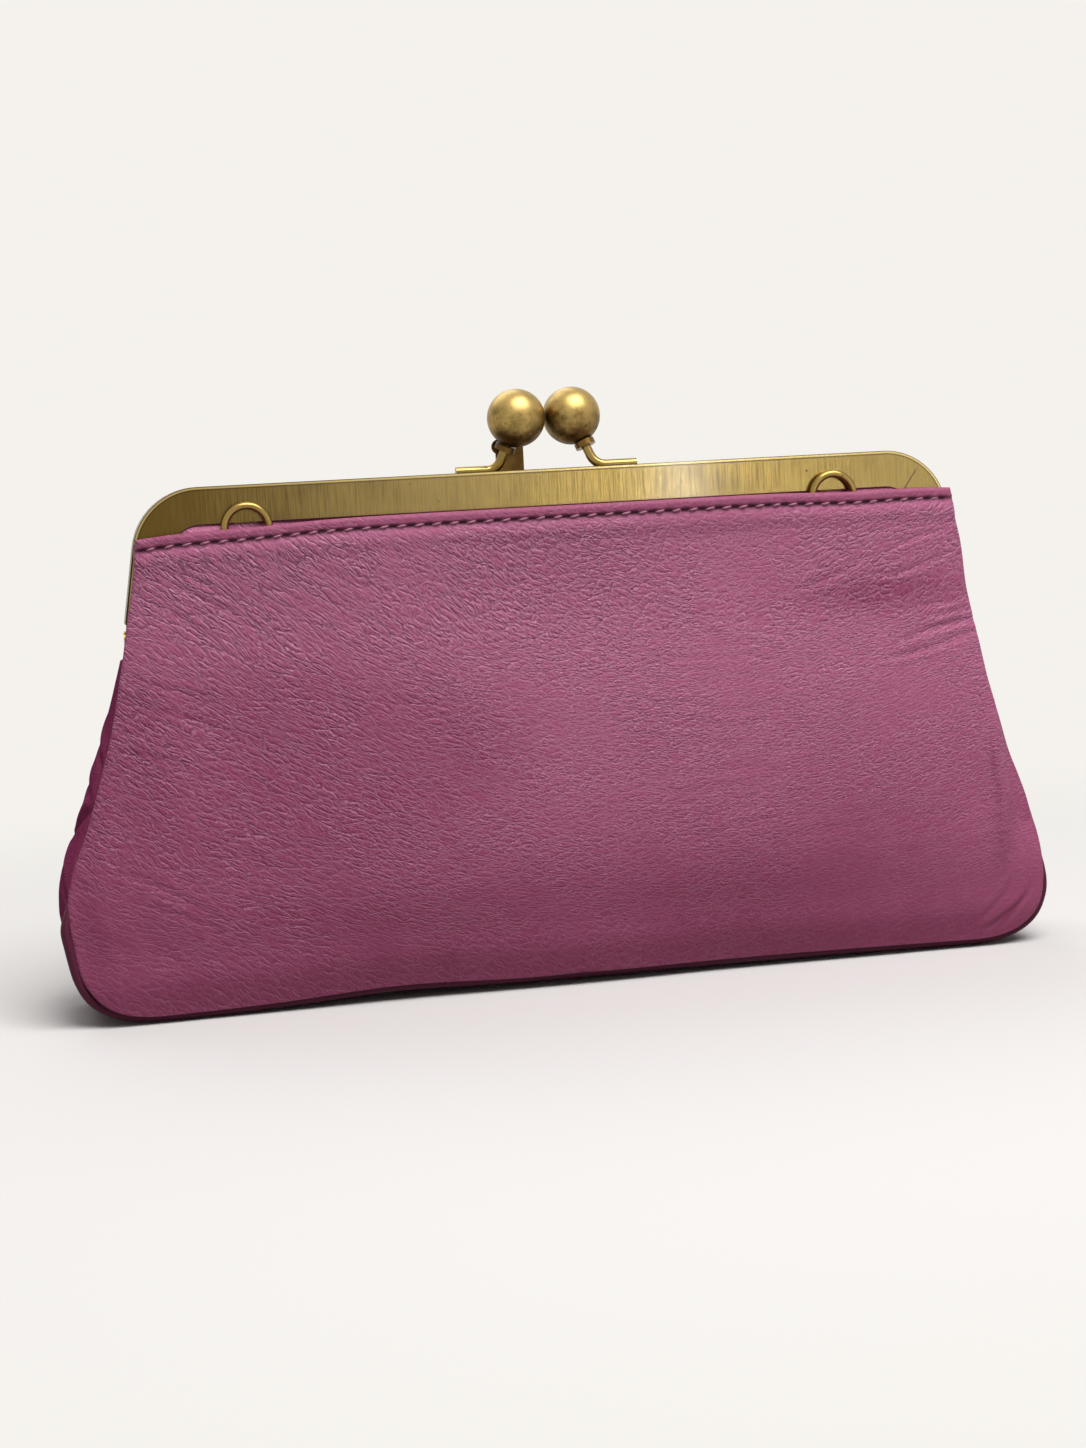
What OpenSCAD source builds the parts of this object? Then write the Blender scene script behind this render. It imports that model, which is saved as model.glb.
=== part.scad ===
// Leather kiss-clasp crossbody bag: a riveted two-part brass frame with a ball clasp and two strap rings,
// a gusseted leather body with piped seams, an open slip pocket across the front, a lining and a base board.
// Millimetres. X runs across the bag, -Y is its front, Z is up. The bag stands on Z = 0 and the frame parts at Y = 0.

/* [Bag body] */
// Height of the frame's top edge above the surface that the bag stands on
bag_h = 127; // [122:1:140]
// Width across the front panel at its widest, without the piping
base_w = 244; // [238:1:252]
// Depth of the gusset at the bottom
base_depth = 30; // [26:1:36]
// Height at which the body is widest
widest_z = 22; // [18:1:26]
// Width of each rounded bottom corner
corner_w = 23; // [18:1:28]
// How far the middle of the front and rear panels swells out past their edges
belly = 5.2; // [3:0.1:6]
// How far each side gusset puffs out between its seams
gusset_puff = 1.6; // [0.5:0.1:2.5]

/* [Leather and lining] */
// Thickness of the body leather
leather_t = 1.4; // [1:0.1:1.6]
// Thickness of the leather where it is thinned to enter the frame
skived_t = 0.9; // [0.7:0.1:1]
// Thickness of the lining cloth
lining_t = 0.5; // [0.4:0.1:0.6]
// Clearance between two layers of the bag
layer_gap = 0.3; // [0.2:0.05:0.35]
// Diameter of the piping cord in its leather cover
piping_d = 2.6; // [2:0.1:3]
// Height at which the piping runs out on each side
piping_end_z = 34; // [28:1:44]
// Thickness of the base board
board_t = 1.5; // [1:0.1:1.6]

/* [Slip pocket] */
// How far the pocket's mouth stands off the frame in the middle
mouth_gap = 5; // [4.6:0.1:6]
// Height of the turned and stitched hem along the pocket's mouth
hem_h = 2.8; // [2:0.1:4]
// Extra thickness where the hem is folded over
hem_extra = 0.5; // [0.3:0.1:0.8]
// How far the pocket's mouth dips at each side
hem_dip = 1.8; // [1:0.1:3]

/* [Frame] */
// Width of the frame across its top corners
frame_w = 206; // [200:1:212]
// Width of the frame's flat face
face_w = 9; // [8.5:0.5:10]
// Depth of each half of the frame
half_depth = 4.2; // [4.2:0.1:5]
// Thickness of the frame's sheet brass
sheet_t = 0.6; // [0.5:0.05:0.6]
// Width of the flange on the parting side, which holds the leather in
flange_w = 7; // [6:0.5:8]
// Outer radius of the frame's corners
frame_r = 16.5; // [13:0.5:17.5]
// Angle at which the legs splay outward
leg_splay = 9.5; // [6:0.5:11]
// Gap between the two closed halves
parting_gap = 0.2; // [0.1:0.05:0.3]
// Diameter of the twisted paper cord that wedges the leather in the channel
wedge_d = 1.3; // [1:0.1:1.4]

/* [Hinge] */
// Drop from the frame's top edge to the hinge axis
hinge_drop = 36; // [35:0.5:38]
// Radius of the round hinge ears
ear_r = 3.4; // [3:0.1:3.6]
// Thickness of the hinge ears
ear_t = 0.8; // [0.6:0.1:0.9]
// Radius of the rivets' shanks
rivet_r = 1.15; // [0.9:0.05:1.3]
// Radius of the rivets' heads
rivet_head_r = 2.2; // [1.9:0.1:2.6]
// Thickness of the rivets' heads
rivet_head_t = 0.5; // [0.4:0.1:0.7]
// Clearance of a part that turns on or beside another
running_gap = 0.05; // [0.03:0.01:0.08]

/* [Ball clasp] */
// Diameter of the two balls
ball_d = 14.4; // [13:0.1:15]
// Gap left between the balls as one passes the other
ball_gap = 0.1; // [0.05:0.05:0.3]
// How far each ball lies past the parting plane when the clasp is shut
ball_past = 1.2; // [0.8:0.1:1.6]
// Height of the balls' centres above the frame
ball_h = 12.8; // [12:0.1:14]
// Diameter of the bent rods that carry the balls
rod_d = 2.4; // [2:0.1:2.6]
// Height of the foot's axis above the frame, whose top sheet is slotted for it
foot_rise = 0.3; // [0.1:0.1:0.8]
// Distance from the bag's middle to the outer end of each rod's foot
foot_reach = 22.5; // [20:0.5:26]
// Radius of the bend between foot and shank, on the rod's axis
rod_bend_r = 4; // [3:0.5:5]
// Angle of the shank from upright
shank_tilt = 20; // [12:1:26]
// Depth of the socket in each ball
socket_depth = 4; // [3:0.5:5]
// Radius of the collar under each ball
collar_r = 2.6; // [2:0.1:2.8]
// Height of the collar
collar_h = 1.4; // [1:0.1:1.8]
// Width of the stop plate behind the rear half's rod
stop_w = 7; // [6:0.5:9]
// Height of the stop plate
stop_h = 6; // [5:0.5:7]
// Thickness of the stop plate
stop_t = 0.7; // [0.5:0.1:0.8]
// Radius of the lobe on the stop plate's upper corner
stop_lobe_r = 1.9; // [1.5:0.1:2.2]

/* [Strap rings] */
// Distance of each strap ring's middle in from the frame's side
ring_inset = 29; // [25:.5:37]
// How far the pair of rings is riveted off the middle, to the left
ring_shift = 1.6; // [0:0.2:2]
// Outer width of the rings
ring_w = 12.6; // [12:0.1:14]
// Diameter of the rings' wire
ring_wire = 1.9; // [1.6:0.1:2]
// Height of the rings over the wire
ring_h = 10.9; // [10:0.1:12]
// How far a ring stands above the frame's lower edge
ring_show = 4.9; // [4:0.1:6]
// Distance of a ring's middle plane in front of the frame's face
ring_out = 1.5; // [1.4:0.05:1.8]
// Radius of a ring's bend beside its straight bar, on the wire's axis
ring_bend_r = 1.5; // [1.2:0.1:2]
// Width of the lugs that hold the rings
lug_w = 5.4; // [4:0.1:5.8]
// Thickness of the lugs' sheet brass
lug_t = 0.4; // [0.3:0.05:0.45]
// Length of a lug's tail inside the channel
lug_tail = 4; // [3:0.5:5]

/* [Hidden] */

// Colours
brass = [0.60, 0.50, 0.26];
dark_brass = [0.40, 0.31, 0.14];
leather = [0.60, 0.35, 0.46];
dark_leather = [0.34, 0.14, 0.23];
cloth = [0.42, 0.36, 0.40];
paper = [0.72, 0.62, 0.45];

// Resolution
$fn = 72;
panel_cols = 16;
corner_rows = 6;
side_rows = 8;
upper_rows = 6;
arch_rows = 4;
strip_cols = 6;
tube_sides = 8;

// Overrun of every cut
overrun = 1;

// Powers of the curves: the bottom corners, and the flat middle of the swelling panels
corner_power = 3;
swell_power = 5;

// Places in the frame
hinge_z = bag_h - hinge_drop;
corner_z = bag_h - frame_r;
corner_x = frame_w / 2 - frame_r * cos(leg_splay);
face_y = parting_gap / 2 + half_depth;
bar_low_z = bag_h - face_w;
leg_end_z = hinge_z + ear_r + 2 * layer_gap;
ring_x = frame_w / 2 - ring_inset;
ear_gap = 3 * running_gap;
ear_lap = 2 * ear_t;

// The frame's outer edge at a height on its splayed leg
function leg_x(z) = frame_w / 2 + (corner_z + frame_r * sin(leg_splay) - z) * tan(leg_splay);

// The hinge stack on the right, from the outside in: head, front half's ear, rear half's ear, head
front_ear_x = leg_x(leg_end_z + ear_lap) - ear_t;
rear_ear_x = front_ear_x - ear_gap - ear_t;
inner_head_x = rear_ear_x - ear_gap - rivet_head_t;
outer_head_x = front_ear_x + ear_t + ear_gap;

// Leather inside the channel, as depths from the parting plane
channel_leather_y = face_y - sheet_t - lug_t - running_gap;
wedge_inset = face_w / 2;
wedge_y = parting_gap / 2 + sheet_t + layer_gap / 2 + wedge_d / 2;
hinge_inset = leg_x(hinge_z) - inner_head_x + layer_gap;
channel_r = frame_r - hinge_inset * cos(leg_splay);

// Heights in the body. The leather is divided at the level where it bends as the frame opens
panel_low_z = piping_d + 2 * layer_gap;
split_z = hinge_z - ear_r - 3 * layer_gap;
flat_x = base_w / 2 - corner_w;
seam_top = face_y - leather_t;
lining_top_z = bar_low_z - 2 * layer_gap;
entry_z = bar_low_z - face_w;

// A share of the way from a to b, held between 0 and 1, then eased at both ends
function held(t) = min(1, max(0, t));
function share_of(v, a, b) = held((v - a) / (b - a));
function eased(t) = t * t * (3 - 2 * t);
function mix(a, b, t) = a + (b - a) * t;

// Outline: half the body's width at a height, from the leg's line down to the widest point and round the corner
side_run = hinge_z - widest_z;
function outline_x(z) =
    z >= hinge_z ? leg_x(z)
    : z >= widest_z
        ? let (t = (hinge_z - z) / side_run)
          mix(leg_x(hinge_z), base_w / 2, eased(t)) + tan(leg_splay) * side_run * t * (1 - t) * (1 - t)
        : flat_x + corner_w * pow(1 - pow(share_of(widest_z - z, 0, widest_z - panel_low_z), corner_power),
                                  1 / corner_power);

// Depth of the seam between gusset and panel, and how far a panel's middle swells past it
function seam_y(z) = mix(base_depth / 2, seam_top, share_of(z, widest_z, split_z));
function swell(z) = belly * sin(90 * share_of(z, panel_low_z, widest_z + corner_w));
function crown(u) = 1 - pow(abs(u), swell_power);

// Level at which a panel lies in line with the channel: low beside the legs, higher between them
function entry_level(u) =
    mix(leg_end_z, entry_z, eased(share_of((1 - abs(u)) * frame_w / 2, face_w, 3 * face_w)));

// Outer face of the front and rear panels, below and above the level where the leather is divided
function panel_y(u, z) =
    let (free = seam_y(z) + layer_gap + leather_t + swell(z) * crown(u))
    mix(free - layer_gap * share_of(z, widest_z, split_z), channel_leather_y,
        eased(share_of(z, split_z, entry_level(u))));
function panel_t(z) = mix(leather_t, skived_t, share_of(z, split_z, leg_end_z));

// Inner face of the pocket: against the panel below, standing off the frame at the mouth
function pocket_y(u, z) =
    mix(panel_y(u, min(z, split_z)) + layer_gap, face_y + layer_gap + mouth_gap * crown(u),
        eased(share_of(z, split_z, bar_low_z)));
function mouth_z(u) = bar_low_z - layer_gap / 2 - hem_dip * pow(abs(u), swell_power);

// Half width of a panel that draws in to pass the hinge and follows the channel round the frame's corner
function panel_x(z) =
    z > corner_z + channel_r * sin(leg_splay)
        ? corner_x + sqrt(max(0, channel_r * channel_r - (z - corner_z) * (z - corner_z)))
        : outline_x(z) - hinge_inset * eased(share_of(z, split_z - corner_w, split_z));
// Half width of the lining, which stays inside the gusset below and the frame's legs above
function lining_x(z) = outline_x(z) - 2 * layer_gap - mix(leather_t, face_w, eased(share_of(z, widest_z, split_z)));

// Heights of the rows of a panel: close together round the corner, then even
function corner_levels(low) = [for (i = [0 : corner_rows])
    widest_z - (widest_z - low) * pow(cos(90 * i / corner_rows), 2 / corner_power)];
function even_levels(low, high, rows) = [for (i = [1 : rows]) mix(low, high, i / rows)];
body_levels = concat(corner_levels(panel_low_z), even_levels(widest_z, split_z, side_rows));
lining_levels = concat(corner_levels(panel_low_z + 2 * layer_gap), even_levels(widest_z, split_z, side_rows));
// Above the divide the rows meet the legs' lower ends, then go on to the mouth
leg_levels = concat([split_z + layer_gap], even_levels(split_z + layer_gap, leg_end_z, upper_rows / 2));
lining_upper_levels = concat(leg_levels, even_levels(leg_end_z, lining_top_z, upper_rows));
upper_levels = concat(leg_levels,
    even_levels(leg_end_z, corner_z + channel_r * sin(leg_splay), upper_rows),
    [for (i = [1 : arch_rows]) corner_z + channel_r * sin(mix(leg_splay, 90, i / arch_rows))]);

// Flat list of a grid's points, and the closed skin of a sheet between two grids of the same size
function flat(grid) = [for (row = grid) for (p = row) p];

module sheet(outer, inner) {
    rows = len(outer);
    cols = len(outer[0]);
    count = rows * cols;
    function at(r, c) = r * cols + c;
    outside = [for (r = [0 : rows - 2]) for (c = [0 : cols - 2]) each [
        [at(r, c), at(r + 1, c), at(r, c + 1)],
        [at(r, c + 1), at(r + 1, c), at(r + 1, c + 1)]]];
    inside = [for (f = outside) [f[2] + count, f[1] + count, f[0] + count]];
    rim = concat(
        [for (c = [0 : cols - 1]) at(0, c)],
        [for (r = [1 : rows - 1]) at(r, cols - 1)],
        [for (c = [cols - 2 : -1 : 0]) at(rows - 1, c)],
        [for (r = [rows - 2 : -1 : 1]) at(r, 0)]);
    n = len(rim);
    edge = [for (i = [0 : n - 1]) let (a = rim[i], b = rim[(i + 1) % n]) each [
        [a, b, b + count], [a, b + count, a + count]]];
    polyhedron(concat(flat(outer), flat(inner)), concat(outside, inside, edge));
}

// A grid over a panel: rows at the given heights, y_at gives the depth of a face and x_at half the width
module panel_sheet(levels, x_at, y_at, t_at) {
    us = [for (i = [0 : panel_cols]) 2 * i / panel_cols - 1];
    outer = [for (z = levels) [for (u = us) [u * x_at(z), -y_at(u, z), z]]];
    inner = [for (z = levels) [for (u = us) [u * x_at(z), -y_at(u, z) + t_at(z), z]]];
    sheet(outer, inner);
}

// The seam line from the middle of the bottom up the right side: points [x, z] and their outward normals
function seam_points(low, levels) = concat([[0, low], [flat_x / 2, low]], [for (z = levels) [outline_x(z), z]]);
function seam_normal(p, i) =
    i < 3 ? [0, -1]
    : let (d = p[min(i + 1, len(p) - 1)] - p[i - 1]) [d[1], -d[0]] / norm(d);

// The same line from the top of the left side to the top of the right: [x, z, normal x, normal z]
function seam_line(levels) =
    let (p = seam_points(panel_low_z, levels), n = len(p),
         right = [for (i = [0 : n - 1]) let (m = seam_normal(p, i)) [p[i][0], p[i][1], m[0], m[1]]])
    concat([for (i = [n - 1 : -1 : 1]) [-right[i][0], right[i][1], -right[i][2], right[i][3]]], right);

// How much of the side's shape a point on the seam line has: none along the flat bottom
function side_share(z) = eased(share_of(z, panel_low_z, piping_end_z));
function gusset_y(z) = seam_y(z) - layer_gap * share_of(z, widest_z, split_z);

// A strip along the seam line: bottom and side give its outer face's distance outside the line
module seam_strip(bottom, side, puff, thickness, trim) {
    line = seam_line(body_levels);
    ws = [for (i = [0 : strip_cols]) 2 * i / strip_cols - 1];
    function out(q, w) = mix(bottom, side + puff * (1 - w * w), side_share(q[1]));
    outer = [for (q = line) [for (w = ws)
        [q[0] + q[2] * out(q, w), w * (gusset_y(q[1]) - trim), q[1] + q[3] * out(q, w)]]];
    inner = [for (q = line) [for (w = ws)
        [q[0] + q[2] * (out(q, w) - thickness), w * (gusset_y(q[1]) - trim),
         q[1] + q[3] * (out(q, w) - thickness)]]];
    sheet(outer, inner);
}

// A round cord: places are [x, y, z, normal x, normal z], where the normal is square to its run
module cord(places, d) {
    n = len(places);
    points = [for (q = places) for (j = [0 : tube_sides - 1])
        let (a = 360 * j / tube_sides, c = cos(a) * d / 2, s = sin(a) * d / 2)
        [q[0] + q[3] * c, q[1] + s, q[2] + q[4] * c]];
    function at(k, j) = k * tube_sides + j % tube_sides;
    skin = [for (k = [0 : n - 2]) for (j = [0 : tube_sides - 1]) each [
        [at(k, j), at(k + 1, j), at(k, j + 1)],
        [at(k, j + 1), at(k + 1, j), at(k + 1, j + 1)]]];
    first = [for (j = [1 : tube_sides - 2]) [at(0, 0), at(0, j), at(0, j + 1)]];
    last = [for (j = [1 : tube_sides - 2]) [at(n - 1, 0), at(n - 1, j + 1), at(n - 1, j)]];
    polyhedron(points, concat(skin, first, last));
}

// Piping outside a seam that holds a stack of leather of the given thickness
module piping(stack) {
    levels = concat(corner_levels(panel_low_z), even_levels(widest_z, piping_end_z, upper_rows / 2));
    out = layer_gap + piping_d / 2;
    cord([for (q = seam_line(levels))
        [q[0] + q[2] * out, -seam_y(q[1]) - layer_gap - max(stack, piping_d) / 2, q[1] + q[3] * out, q[2], q[3]]],
        piping_d);
}

// Paper cord along the channel
module wedge_cord() {
    r = frame_r - wedge_inset;
    turn = [for (i = [0 : corner_rows]) mix(leg_splay, 90, i / corner_rows)];
    low = leg_end_z + ear_lap + layer_gap;
    right = concat(
        [[leg_x(low) - wedge_inset / cos(leg_splay), -wedge_y, low, cos(leg_splay), sin(leg_splay)]],
        [for (a = turn) [corner_x + r * cos(a), -wedge_y, corner_z + r * sin(a), cos(a), sin(a)]]);
    n = len(right);
    cord(concat([for (i = [0 : n - 1]) right[i]],
                [for (i = [n - 1 : -1 : 0]) [-right[i][0], right[i][1], right[i][2], -right[i][3], right[i][4]]]),
         wedge_d);
}

// Everything inside the frame's outline, drawn in by inset and cut off at a low level
module arch(inset, low) {
    r = frame_r - inset;
    foot_x = leg_x(low) - inset / cos(leg_splay);
    hip_x = corner_x + r * cos(leg_splay);
    hip_z = corner_z + r * sin(leg_splay);
    polygon([[-corner_x, corner_z + r], [corner_x, corner_z + r], [hip_x, hip_z], [foot_x, low],
             [-foot_x, low], [-hip_x, hip_z]]);
    for (side = [-1, 1]) translate([side * corner_x, corner_z]) circle(r);
}

// A layer of the front half between two depths
module layer(near, far) {
    translate([0, -near, 0]) rotate([90, 0, 0]) linear_extrude(far - near) children();
}

// The bent channel of one half, drawn as the front one
module channel() {
    low = leg_end_z - overrun;
    difference() {
        layer(parting_gap / 2, face_y) arch(0, leg_end_z);
        layer(parting_gap / 2 - overrun, face_y + overrun) arch(face_w, low);
        layer(parting_gap / 2 + sheet_t, face_y - sheet_t) arch(sheet_t, low);
        layer(parting_gap / 2 - overrun, parting_gap / 2 + 2 * sheet_t) arch(flange_w, low);
    }
}

// A round hinge ear with its neck up to the front half's leg, starting at a place along X
module ear(from) {
    translate([from, 0, 0]) rotate([90, 0, 90]) linear_extrude(ear_t) {
        translate([0, hinge_z]) circle(ear_r);
        polygon([[-parting_gap / 2, hinge_z], [-parting_gap / 2, leg_end_z + ear_lap],
                 [-face_y, leg_end_z + ear_lap], [-face_y, leg_end_z], [-ear_r, hinge_z]]);
    }
}

// One half of the frame, drawn as the front one, with ears at a place along X, true bores for the rivets and
// a slot in its top sheet for the foot of its rod
module frame_half(ear_x, foot_side) {
    difference() {
        union() {
            channel();
            ear(ear_x);
            mirror([1, 0, 0]) ear(ear_x);
        }
        for (side = [0, 1]) mirror([side, 0, 0])
            translate([ear_x - overrun, 0, hinge_z]) rotate([0, 90, 0])
                cylinder(r = rivet_r + running_gap, h = ear_t + 2 * overrun);
        mirror([foot_side, 0, 0]) bent_rod(rod_d + 2 * running_gap, foot_reach + running_gap);
    }
}

// The right hinge's rivet with a head against each side of the stack
module rivet() {
    translate([inner_head_x, 0, hinge_z]) rotate([0, 90, 0]) {
        cylinder(r = rivet_r, h = outer_head_x + rivet_head_t - inner_head_x);
        cylinder(r = rivet_head_r, h = rivet_head_t);
        translate([0, 0, outer_head_x - inner_head_x]) cylinder(r = rivet_head_r, h = rivet_head_t);
    }
}

// The clasp's rod, collar and ball are laid out in the upright plane of the rod, which leans back from the
// front half's edge so that the ball ends past the parting plane. H is the height up that plane.
foot_y = parting_gap / 2 + half_depth / 2;
clasp_lean = atan((ball_past + foot_y) / (ball_h - foot_rise));
plane_h = norm([ball_past + foot_y, ball_h - foot_rise]);
ball_x = (ball_d + ball_gap) / 2;
bend_angle = 90 - shank_tilt;
bend_run = rod_bend_r * tan(bend_angle / 2);
bend_x = ball_x + plane_h * tan(shank_tilt) + bend_run;
shank_len = plane_h / cos(shank_tilt) - bend_run - ball_d / 2 + socket_depth;

module clasp_plane() {
    translate([0, -foot_y, bag_h + foot_rise]) rotate([-clasp_lean, 0, 0]) children();
}

// At the ball's centre, with Z down the shank
module at_ball() {
    clasp_plane() translate([ball_x, 0, plane_h]) rotate([0, 180 - shank_tilt, 0]) children();
}

// An arc of round wire in the plane of X and Z, about a centre
module wire_arc(x, z, bend_r, wire, from, turn) {
    translate([x, 0, z]) rotate([90, 0, 0]) rotate([0, 0, from])
        rotate_extrude(angle = turn) translate([bend_r, 0]) circle(d = wire);
}

// Round wire from the outer end of the foot round the bend and up the shank
module bent_rod(wire, reach) {
    clasp_plane() translate([bend_x, 0, 0]) {
        rotate([0, 90, 0]) cylinder(d = wire, h = reach - bend_x);
        mirror([1, 0, 0]) wire_arc(0, rod_bend_r, rod_bend_r, wire, 270, bend_angle);
        // The shank is turned down a hair where it leaves the bend
        translate([-rod_bend_r * cos(shank_tilt), 0, rod_bend_r * (1 - sin(shank_tilt))])
            rotate([0, -shank_tilt, 0]) translate([0, 0, -running_gap])
                cylinder(d = wire - running_gap, h = shank_len + running_gap);
    }
}

module ball_collar() {
    at_ball() translate([0, 0, ball_d / 2]) difference() {
        cylinder(r = collar_r, h = collar_h);
        translate([0, 0, -overrun]) cylinder(r = rod_d / 2 + running_gap, h = collar_h + 2 * overrun);
    }
}

module clasp_ball() {
    at_ball() difference() {
        sphere(d = ball_d);
        translate([0, 0, ball_d / 2 - socket_depth - running_gap])
            cylinder(r = rod_d / 2 + running_gap, h = socket_depth + overrun);
    }
}

// The rear half's clasp is the front one's turned half round
module rear_side() {
    rotate([0, 0, 180]) children();
}

// The strap rings' straight bars lie in front of the frame's lower edge
ring_y = face_y + ring_out;
ring_bar_z = bar_low_z + ring_show - ring_h + ring_wire / 2;
ring_half_w = (ring_w - ring_wire) / 2;
ring_top = ring_h - ring_wire - ring_half_w;

module strap_ring() {
    translate([0, -ring_y, ring_bar_z]) {
        translate([ring_bend_r - ring_half_w, 0, 0]) rotate([0, 90, 0])
            cylinder(d = ring_wire, h = 2 * (ring_half_w - ring_bend_r));
        for (side = [0, 1]) mirror([side, 0, 0]) {
            wire_arc(ring_half_w - ring_bend_r, ring_bend_r, ring_bend_r, ring_wire, 270, 90);
            translate([ring_half_w, 0, ring_bend_r]) cylinder(d = ring_wire, h = ring_top - ring_bend_r);
        }
        wire_arc(0, ring_top, ring_half_w, ring_wire, 0, 180);
    }
}

// A strip of sheet brass round the ring's bar, with its tail up inside the channel
module ring_lug() {
    bar_r = ring_wire / 2 + running_gap;
    back_y = face_y - sheet_t;
    difference() {
        union() {
            translate([-lug_w / 2, -ring_y, ring_bar_z]) rotate([0, 90, 0])
                cylinder(r = bar_r + lug_t, h = lug_w);
            translate([-lug_w / 2, 0, 0]) rotate([90, 0, 90]) linear_extrude(lug_w)
                polygon([[-back_y, bar_low_z + lug_tail], [lug_t - back_y, bar_low_z + lug_tail],
                         [lug_t - back_y, bar_low_z - lug_t], [bar_r + lug_t / 2 - ring_y, ring_bar_z - lug_t],
                         [-ring_y, ring_bar_z], [-back_y, bar_low_z - lug_t]]);
        }
        translate([-lug_w / 2 - overrun, -ring_y, ring_bar_z]) rotate([0, 90, 0])
            cylinder(r = bar_r, h = lug_w + 2 * overrun);
    }
}

module stop_plate() {
    left = -ball_x - stop_w * 2 / 3;
    rear_side() layer(face_y - stop_t, face_y) mirror([1, 0]) {
        translate([left, bag_h]) square([stop_w, stop_h]);
        translate([left + stop_lobe_r / 2, bag_h + stop_h]) circle(stop_lobe_r);
    }
}

// A rectangle with round corners about the origin
module rounded_plate(size, r, t) {
    linear_extrude(t) {
        square([size[0] - 2 * r, size[1]], center = true);
        square([size[0], size[1] - 2 * r], center = true);
        for (x = [-1, 1], y = [-1, 1]) translate([x * (size[0] / 2 - r), y * (size[1] / 2 - r)]) circle(r);
    }
}

// The pocket's hem and the leather down to the level where it bends
module pocket_top() {
    us = [for (i = [0 : panel_cols]) 2 * i / panel_cols - 1];
    low = split_z + layer_gap;
    rows = concat(
        [for (i = [0 : upper_rows]) [i / upper_rows, 0, 0]],
        [[1, hem_extra / 2, hem_extra], [1, hem_h - hem_extra / 2, hem_extra], [1, hem_h, hem_extra / 2]]);
    function z_at(row, u) = mix(low, mouth_z(u) - hem_h, row[0]) + row[1];
    outer = [for (row = rows) [for (u = us) let (z = z_at(row, u))
        [u * outline_x(z), -pocket_y(u, z) - leather_t - row[2], z]]];
    inner = [for (row = rows) [for (u = us) let (z = z_at(row, u)) [u * outline_x(z), -pocket_y(u, z), z]]];
    sheet(outer, inner);
}

module lining_sheet(levels) {
    panel_sheet(levels, function (z) lining_x(z),
                function (u, z) panel_y(u, z) - panel_t(z) - layer_gap, function (z) lining_t);
}

module front_frame() color(brass) frame_half(front_ear_x, 0);
module front_panel_upper() color(leather)
    panel_sheet(upper_levels, function (z) panel_x(z), function (u, z) panel_y(u, z), function (z) panel_t(z));
module pocket_upper() color(leather) pocket_top();
module front_lining_upper() color(cloth) lining_sheet(lining_upper_levels);
module front_wedge_cord() color(paper) wedge_cord();
module front_clasp_rod() color(brass) bent_rod(rod_d, foot_reach);
module front_ball_collar() color(dark_brass) ball_collar();
module front_clasp_ball() color(brass) clasp_ball();
module left_ring_lug() color(dark_brass) translate([-ring_x - ring_shift, 0, 0]) ring_lug();
module right_ring_lug() color(dark_brass) translate([ring_x - ring_shift, 0, 0]) ring_lug();
module left_strap_ring() color(brass) translate([-ring_x - ring_shift, 0, 0]) strap_ring();
module right_strap_ring() color(brass) translate([ring_x - ring_shift, 0, 0]) strap_ring();

module rear_frame() color(brass) mirror([0, 1, 0]) frame_half(rear_ear_x, 1);
module rear_panel_upper() color(leather) mirror([0, 1, 0])
    panel_sheet(upper_levels, function (z) panel_x(z), function (u, z) panel_y(u, z), function (z) panel_t(z));
module rear_lining_upper() color(cloth) mirror([0, 1, 0]) lining_sheet(lining_upper_levels);
module rear_wedge_cord() color(paper) mirror([0, 1, 0]) wedge_cord();
module rear_clasp_rod() color(brass) rear_side() bent_rod(rod_d, foot_reach);
module rear_ball_collar() color(dark_brass) rear_side() ball_collar();
module rear_clasp_ball() color(brass) rear_side() clasp_ball();
module clasp_stop_plate() color(dark_brass) stop_plate();

module right_hinge_rivet() color(dark_brass) rivet();
module left_hinge_rivet() color(dark_brass) mirror([1, 0, 0]) rivet();

module front_panel() color(leather)
    panel_sheet(body_levels, function (z) panel_x(z), function (u, z) panel_y(u, z), function (z) leather_t);
module pocket_panel() color(leather)
    panel_sheet(body_levels, function (z) outline_x(z), function (u, z) pocket_y(u, z) + leather_t,
                function (z) leather_t);
module rear_panel() color(leather) mirror([0, 1, 0])
    panel_sheet(body_levels, function (z) panel_x(z), function (u, z) panel_y(u, z), function (z) leather_t);
module side_gusset() color(leather)
    seam_strip(panel_low_z, 0, gusset_puff, leather_t, 0);
module front_piping() color(dark_leather) piping(2 * leather_t + layer_gap);
module rear_piping() color(dark_leather) mirror([0, 1, 0]) piping(leather_t);

module front_lining() color(cloth) lining_sheet(lining_levels);
module rear_lining() color(cloth) mirror([0, 1, 0]) lining_sheet(lining_levels);
module gusset_lining() color(cloth)
    seam_strip(panel_low_z - leather_t - board_t - 2 * layer_gap, -leather_t - layer_gap, 0, lining_t,
               lining_t + layer_gap);
module base_board() color(paper) translate([0, 0, leather_t + layer_gap])
    rounded_plate([2 * (flat_x - layer_gap), base_depth - 4 * layer_gap], 2 * leather_t, board_t);

front_frame();
front_panel_upper();
pocket_upper();
front_lining_upper();
front_wedge_cord();
front_clasp_rod();
front_ball_collar();
front_clasp_ball();
left_ring_lug();
right_ring_lug();
left_strap_ring();
right_strap_ring();
rear_frame();
rear_panel_upper();
rear_lining_upper();
rear_wedge_cord();
rear_clasp_rod();
rear_ball_collar();
rear_clasp_ball();
clasp_stop_plate();
left_hinge_rivet();
right_hinge_rivet();
front_panel();
pocket_panel();
rear_panel();
side_gusset();
front_piping();
rear_piping();
front_lining();
rear_lining();
gusset_lining();
base_board();
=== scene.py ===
import math

import bmesh
import bpy
import numpy as np
from mathutils import Matrix, Vector


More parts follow.
